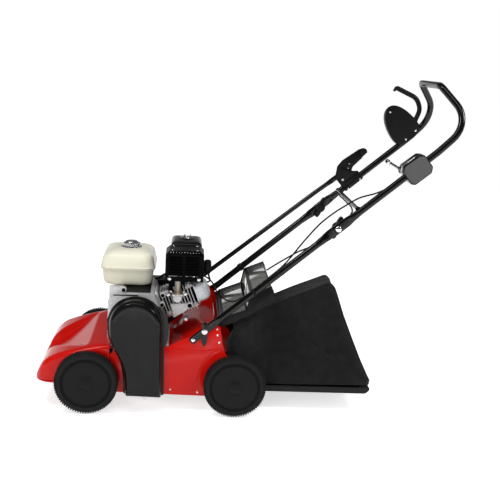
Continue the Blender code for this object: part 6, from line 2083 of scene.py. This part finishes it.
def bag_shell():
    """Fabric side walls, roof and rear in one skin with folds, a woven UV map and an open mouth."""
    loop = cloth_loop(0.006)
    count = len(loop)
    bm = bmesh.new()
    flat = bm.loops.layers.uv.new("cloth")
    sides = [side_rings(bm, loop, sign) for sign in (-1, 1)]
    for rows in sides:
        for outer, inner in zip(rows, rows[1:]):
            belt_of_faces(bm, outer, inner)
        last = rows[-1]
        middle = bm.verts.new(sum((v.co for v in last), Vector()) / count)
        for i in range(count):
            bm.faces.new((last[i], last[(i + 1) % count], middle))
    across = 40
    left, right = sides[0][0], sides[1][0]
    grid = [left]
    for t in (step / across for step in range(1, across)):
        row = []
        for a, b, p in zip(left, right, loop):
            toward = (CLOTH_MIDDLE - p).normalized()
            ripple = math.sin(t * 13 + p.x * 23) * math.sin(p.y * 41 + p.x * 17)
            dip = 0.004 * math.sin(t * math.pi) + 0.0014 * ripple
            dip *= slack() * ease((p.x - 0.46) / 0.1)
            row.append(bm.verts.new(a.co.lerp(b.co, t) + Vector((toward.x, 0, toward.y)) * dip))
        grid.append(row)
    grid.append(right)
    for first, second in zip(grid, grid[1:]):
        belt_of_faces(bm, first, second)
    bmesh.ops.recalc_face_normals(bm, faces=bm.faces)
    for face in bm.faces:
        across_y = abs(face.normal.y) < 0.75
        upright = abs(face.normal.x) > abs(face.normal.z)
        for corner in face.loops:
            spot = corner.vert.co
            first = spot.y if across_y else spot.x
            corner[flat].uv = (first, spot.x if across_y and not upright else spot.z)
    mouth = []
    for face in bm.faces:
        middle = face.calc_center_median()
        if middle.x - FRONT_AXLE_X < 0.487 and abs(middle.y) < 0.172 and face.normal.x < -0.5:
            mouth.append(face)
    bmesh.ops.delete(bm, geom=mouth, context="FACES")
    return bm


def piping():
    """Cord sewn in along the seams: round each side's rear and top edge."""
    line = cloth_loop(0.007)
    start, stop = (
        min(range(len(line)), key=lambda i: (line[i] - Vector(end)).length)
        for end in ((0.914, 0.099), (0.456, 0.264))
    )
    shapes = []
    for sign in (-1, 1):
        seam = [
            at(p.x - 0.0012, sign * (bag_half(p.x, p.y) - 0.0045), p.y - 0.0008) for p in line[start:stop]
        ]
        shapes.append(sweep(seam, 0.0026, sides=8))
    return merge(*shapes)


def tray_shape():
    """Stiff tray under the cloth: a rolled top line, a plain wall and a raised rear corner."""
    low, high = 0.0602, 0.0806
    outer = [(0.486, low), (0.9, low), (0.912, 0.0715), (0.9125, high), (0.486, high)]
    inner = [(0.4905, low + 0.0045), (0.874, low + 0.0045), (0.886, high + 0.02), (0.4905, high + 0.02)]
    body = prism(rounded(outer, [0.004, 0.016, 0.01, 0.003, 0.002], 6), -0.185, 0.185, 0.004, 4)
    return merge(carved(body, prism(inner, -0.1805, 0.1805)), *(
        sweep([at(0.487, y, 0.0784), at(0.91, y, 0.0784)], 0.0013, sides=10) for y in (-0.1835, 0.1835)
    ))


class SCARIFIER_OT_bag(bpy.types.Operator):
    """Build the rear flap and the collecting bag with its tray"""
    bl_idname = "scarifier.bag"
    bl_label = "Flap and bag"

    def execute(self, context):
        finish("flap_moulding", flap_frame(), "black_plastic", "rear_flap", 40, "flap")
        finish("flap_borders", flap_ribs(), "black_plastic", body="flap")
        treads = merge(
            step_panel((0.4235, 0.3003), (0.494, 0.3284)), step_panel((0.4985, 0.335), (0.5068, 0.377)),
            step_panel((0.5145, 0.3838), (0.569, 0.4066)),
        )
        # The treads are painted pale grey to stand in for their reflection.
        finish("flap_panels", treads, "flap_gloss", body="flap")
        shell = finish("bag_cloth_skin", bag_shell(), "bag_cloth", "bag_fabric", 0, "catcher")
        add_wall(shell, 0.0012)
        finish("bag_piping", piping(), "piping", body="catcher")
        finish("bag_tray_moulding", tray_shape(), "tray_plastic", "bag_tray", body="catcher")
        return {"FINISHED"}


CAMERA_PLACE = (-0.1998, -3.0198, 1.1267)
CAMERA_YAW = 0.074
CAMERA_PITCH = 0.2078
CAMERA_ROLL = 0.0528
CAMERA_LENS = 66.61


def camera_matrix():
    """The photograph's viewpoint, from the fitted turn to the side, tilt down and roll."""
    forward = Vector((
        math.sin(CAMERA_YAW) * math.cos(CAMERA_PITCH), math.cos(CAMERA_YAW) * math.cos(CAMERA_PITCH),
        -math.sin(CAMERA_PITCH),
    ))
    level = Vector((math.cos(CAMERA_YAW), -math.sin(CAMERA_YAW), 0))
    up = level.cross(forward)
    c, s = math.cos(CAMERA_ROLL), math.sin(CAMERA_ROLL)
    rolled_right, rolled_up = level * c + up * s, up * c - level * s
    matrix = Matrix((rolled_right, rolled_up, -forward)).transposed().to_4x4()
    matrix.translation = CAMERA_PLACE
    return matrix


def area_light(name, place, target, size, watts, mirrored=True):
    """A soft lamp turned towards a point; one that isn't mirrored leaves no highlight."""
    lamp = bpy.data.lights.new(name, "AREA")
    lamp.shape = "RECTANGLE"
    lamp.size, lamp.size_y = size
    lamp.energy = watts
    holder = bpy.data.objects.new(name, lamp)
    holder.location = place
    holder.rotation_euler = (Vector(target) - Vector(place)).to_track_quat("-Z", "Y").to_euler()
    holder.visible_camera = False
    holder.visible_glossy = mirrored
    bpy.context.scene.collection.objects.link(holder)


def ray_kind(net, kind):
    """1 for one kind of ray, 0 for the others."""
    return net.add("ShaderNodeLightPath", output=f"Is {kind} Ray")


def studio_world(strength):
    """Soft grey light on everything, a plain white room for the camera and for transmission rays, and in
    reflections a room brightest low down towards +Y and dim overhead.
    """
    world = bpy.data.worlds.new("studio")
    bpy.context.scene.world = world
    world.use_nodes = True
    world.node_tree.nodes.clear()
    net = Net(world.node_tree)
    camera = ray_kind(net, "Camera")
    seen_ray = camera.math("MAXIMUM", camera, ray_kind(net, "Transmission"))
    white = (1, 1, 1, 1)
    room = net.add("ShaderNodeBackground", None, {"Color": white, "Strength": strength})
    seen = net.add("ShaderNodeBackground", None, {"Color": white})
    _, along_y, along_z = net.axes(net.add("ShaderNodeTexCoord", output="Generated"))
    near = along_y.ramp(-0.25, 0.55, 0.2, 1.0, "SMOOTHSTEP")
    below = along_z.ramp(0.12, 0.2, 1.0, 0.16, "SMOOTHSTEP")
    mirrored = net.add("ShaderNodeBackground", None, {"Strength": near * below})
    lit = net.add("ShaderNodeMixShader", None, {"Fac": ray_kind(net, "Glossy"), 1: room, 2: mirrored})
    both = net.add("ShaderNodeMixShader", None, {"Fac": seen_ray, 1: lit, 2: seen})
    net.feed(net.tree.nodes.new("ShaderNodeOutputWorld").inputs["Surface"], both)


def studio_floor(grey, glow=0.635):
    """A pale sweep of floor that fades to white for the camera but keeps the object's shadow."""
    net = Coating("studio_floor", Base_Color=(grey, grey, grey, 1.0), Roughness=0.9, Specular_IOR_Level=0.05)
    seen = ray_kind(net, "Camera")
    for kind in ("Glossy", "Transmission"):
        seen = seen.math("MAXIMUM", seen, ray_kind(net, kind))
    dark, bright = (net.add("ShaderNodeEmission", None, {"Strength": level}) for level in (0.0, glow))
    pick = net.add("ShaderNodeMixShader", None, {"Fac": seen, 1: dark, 2: bright})
    joined = net.add("ShaderNodeAddShader", None, {0: Wire(net, net.shader.outputs[0]), 1: pick})
    net.feed(net.tree.nodes["Material Output"].inputs["Surface"], joined)
    bm = bmesh.new()
    bmesh.ops.create_grid(bm, x_segments=1, y_segments=1, size=30)
    floor = linked("studio_floor", bm)
    floor.data.materials.append(net.material)
    floor.location.z = -0.0005


class SCARIFIER_OT_stage(bpy.types.Operator):
    """Set up the floor, the soft lamps and the camera"""
    bl_idname = "scarifier.stage"
    bl_label = "Stage"

    def execute(self, context):
        sizes = context.scene.scarifier_sizes
        context.scene.view_settings.view_transform = "Standard"
        camera = bpy.data.objects.new("camera", bpy.data.cameras.new("camera"))
        camera.data.lens = CAMERA_LENS
        camera.data.sensor_width = 36.0
        camera.matrix_world = camera_matrix()
        context.scene.collection.objects.link(camera)
        context.scene.camera = camera
        studio_world(sizes.room_light)
        studio_floor(0.84)
        power = sizes.lamp_power
        area_light("overhead", (-0.4, -0.9, 2.6), (0, 0, 0.3), (2.4, 0.35), power * 0.3)
        area_light("front_left", (-1.7, -3.3, 1.1), (0, 0, 0.4), (1.6, 1.8), power * 1.0, mirrored=False)
        area_light("front_right", (2.5, -2.9, 2.3), (0, 0, 0.5), (1.0, 1.4), power * 0.4, mirrored=False)
        area_light("tail", (3.6, 0.8, 1.8), (0, 0, 0.4), (1.4, 1.4), power * 0.3, mirrored=False)
        area_light("edge_left", (-1.4, -0.72, 2.4), (-0.35, -0.25, 0.3), (0.45, 0.45), power * 0.24)
        area_light("edge_right", (1.4, -0.42, 1.5), (-0.3, -0.25, 0.3), (0.45, 0.45), power * 0.2)
        area_light("low_strip", (0.3, -1.6, 0.03), (0.3, -0.2, 0.7), (3.4, 0.03), power * 0.03)
        return {"FINISHED"}


STEPS = (
    SCARIFIER_OT_stage, SCARIFIER_OT_wheels, SCARIFIER_OT_body, SCARIFIER_OT_engine, SCARIFIER_OT_exhaust,
    SCARIFIER_OT_fuel, SCARIFIER_OT_starter, SCARIFIER_OT_drive, SCARIFIER_OT_handles, SCARIFIER_OT_controls,
    SCARIFIER_OT_cables, SCARIFIER_OT_bag,
)


class ScarifierSizes(bpy.types.PropertyGroup):
    """Sizes and counts that a user would change"""
    tyre_lugs: IntProperty(
        name="Tyre lugs", description="Tread blocks in each row of a tyre", default=76, min=12,
    )
    weave: FloatProperty(
        name="Weave", description="Distance between the threads of the bag's cloth", default=0.0016,
        unit="LENGTH",
    )
    sag: FloatProperty(
        name="Bag sag", description="How far the bag's cloth dips between its frame wires", default=0.006,
        unit="LENGTH",
    )
    room_light: FloatProperty(
        name="Room light", description="Strength of the even light from all round", default=0.45, min=0.0,
    )
    lamp_power: FloatProperty(
        name="Lamp power", description="Power of the main overhead lamp", default=46.0, min=0.0, unit="POWER",
    )


def colour_setting(name, description, default):
    return FloatVectorProperty(
        name=name, description=description, default=default, size=3, min=0.0, max=1.0, subtype="COLOR",
    )


class ScarifierColours(bpy.types.PropertyGroup):
    """The machine's colours"""
    red: colour_setting("Body red", "Enamel of the pressed body", (0.56, 0.0065, 0.0035))
    black: colour_setting("Handle black", "Enamel of the tubes and brackets", (0.0035, 0.0035, 0.0036))
    cream: colour_setting("Tank cream", "Enamel of the fuel tank", (0.76, 0.74, 0.6))
    plastic: colour_setting("Black plastic", "Covers, boxes and levers", (0.005, 0.0051, 0.005))
    box: colour_setting("Throttle box grey", "Moulded box on the left tube", (0.092, 0.092, 0.092))
    hub: colour_setting("Hub grey", "Wheel hubs", (0.0065, 0.0066, 0.0069))
    tyre: colour_setting("Tyre black", "Tyres and belt", (0.014, 0.0145, 0.015))
    cast: colour_setting("Cast aluminium", "Engine castings", (0.62, 0.63, 0.63))
    steel: colour_setting("Plated steel", "Bolts, axles and knives", (0.72, 0.72, 0.73))
    hot: colour_setting("Heated steel", "Exhaust near the head", (0.42, 0.31, 0.19))
    cloth: colour_setting("Bag cloth", "Collecting bag", (0.0062, 0.0062, 0.0066))


class SCARIFIER_PT_panel(bpy.types.Panel):
    """Shows the scarifier's settings and a button for each building step"""
    bl_label = "Lawn Scarifier"
    bl_idname = "SCARIFIER_PT_panel"
    bl_space_type = "VIEW_3D"
    bl_region_type = "UI"
    bl_category = "Scarifier"

    def draw(self, context):
        layout = self.layout
        for group in (context.scene.scarifier_sizes, context.scene.scarifier_colours):
            box = layout.box()
            for key in group.__annotations__:
                box.prop(group, key)
        column = layout.column(align=True)
        for step in STEPS:
            column.operator(step.bl_idname)


def register():
    for kind in (ScarifierSizes, ScarifierColours, *STEPS, SCARIFIER_PT_panel):
        bpy.utils.register_class(kind)
    bpy.types.Scene.scarifier_sizes = PointerProperty(type=ScarifierSizes)
    bpy.types.Scene.scarifier_colours = PointerProperty(type=ScarifierColours)


def unregister():
    del bpy.types.Scene.scarifier_colours
    del bpy.types.Scene.scarifier_sizes
    for kind in (SCARIFIER_PT_panel, *reversed(STEPS), ScarifierColours, ScarifierSizes):
        bpy.utils.unregister_class(kind)


def dress_nodes():
    """Every CAD piece that still shows gets the finish of its slot."""
    replaced = {node for piece in bpy.data.objects for node in piece.get("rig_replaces", [])}
    for node in frame["nodes"]:
        found = bpy.data.objects.get(node)
        if found and node not in replaced:
            for slot in found.material_slots:
                name = slot.material.name.split(".")[0] if slot.material else "black_plastic"
                slot.material = paint(name if name in PAINTS else "black_plastic")


def main():
    register()
    for step in STEPS:
        group, action = step.bl_idname.split(".")
        getattr(getattr(bpy.ops, group), action)()
    dress_nodes()


if __name__ == "__main__":
    main()
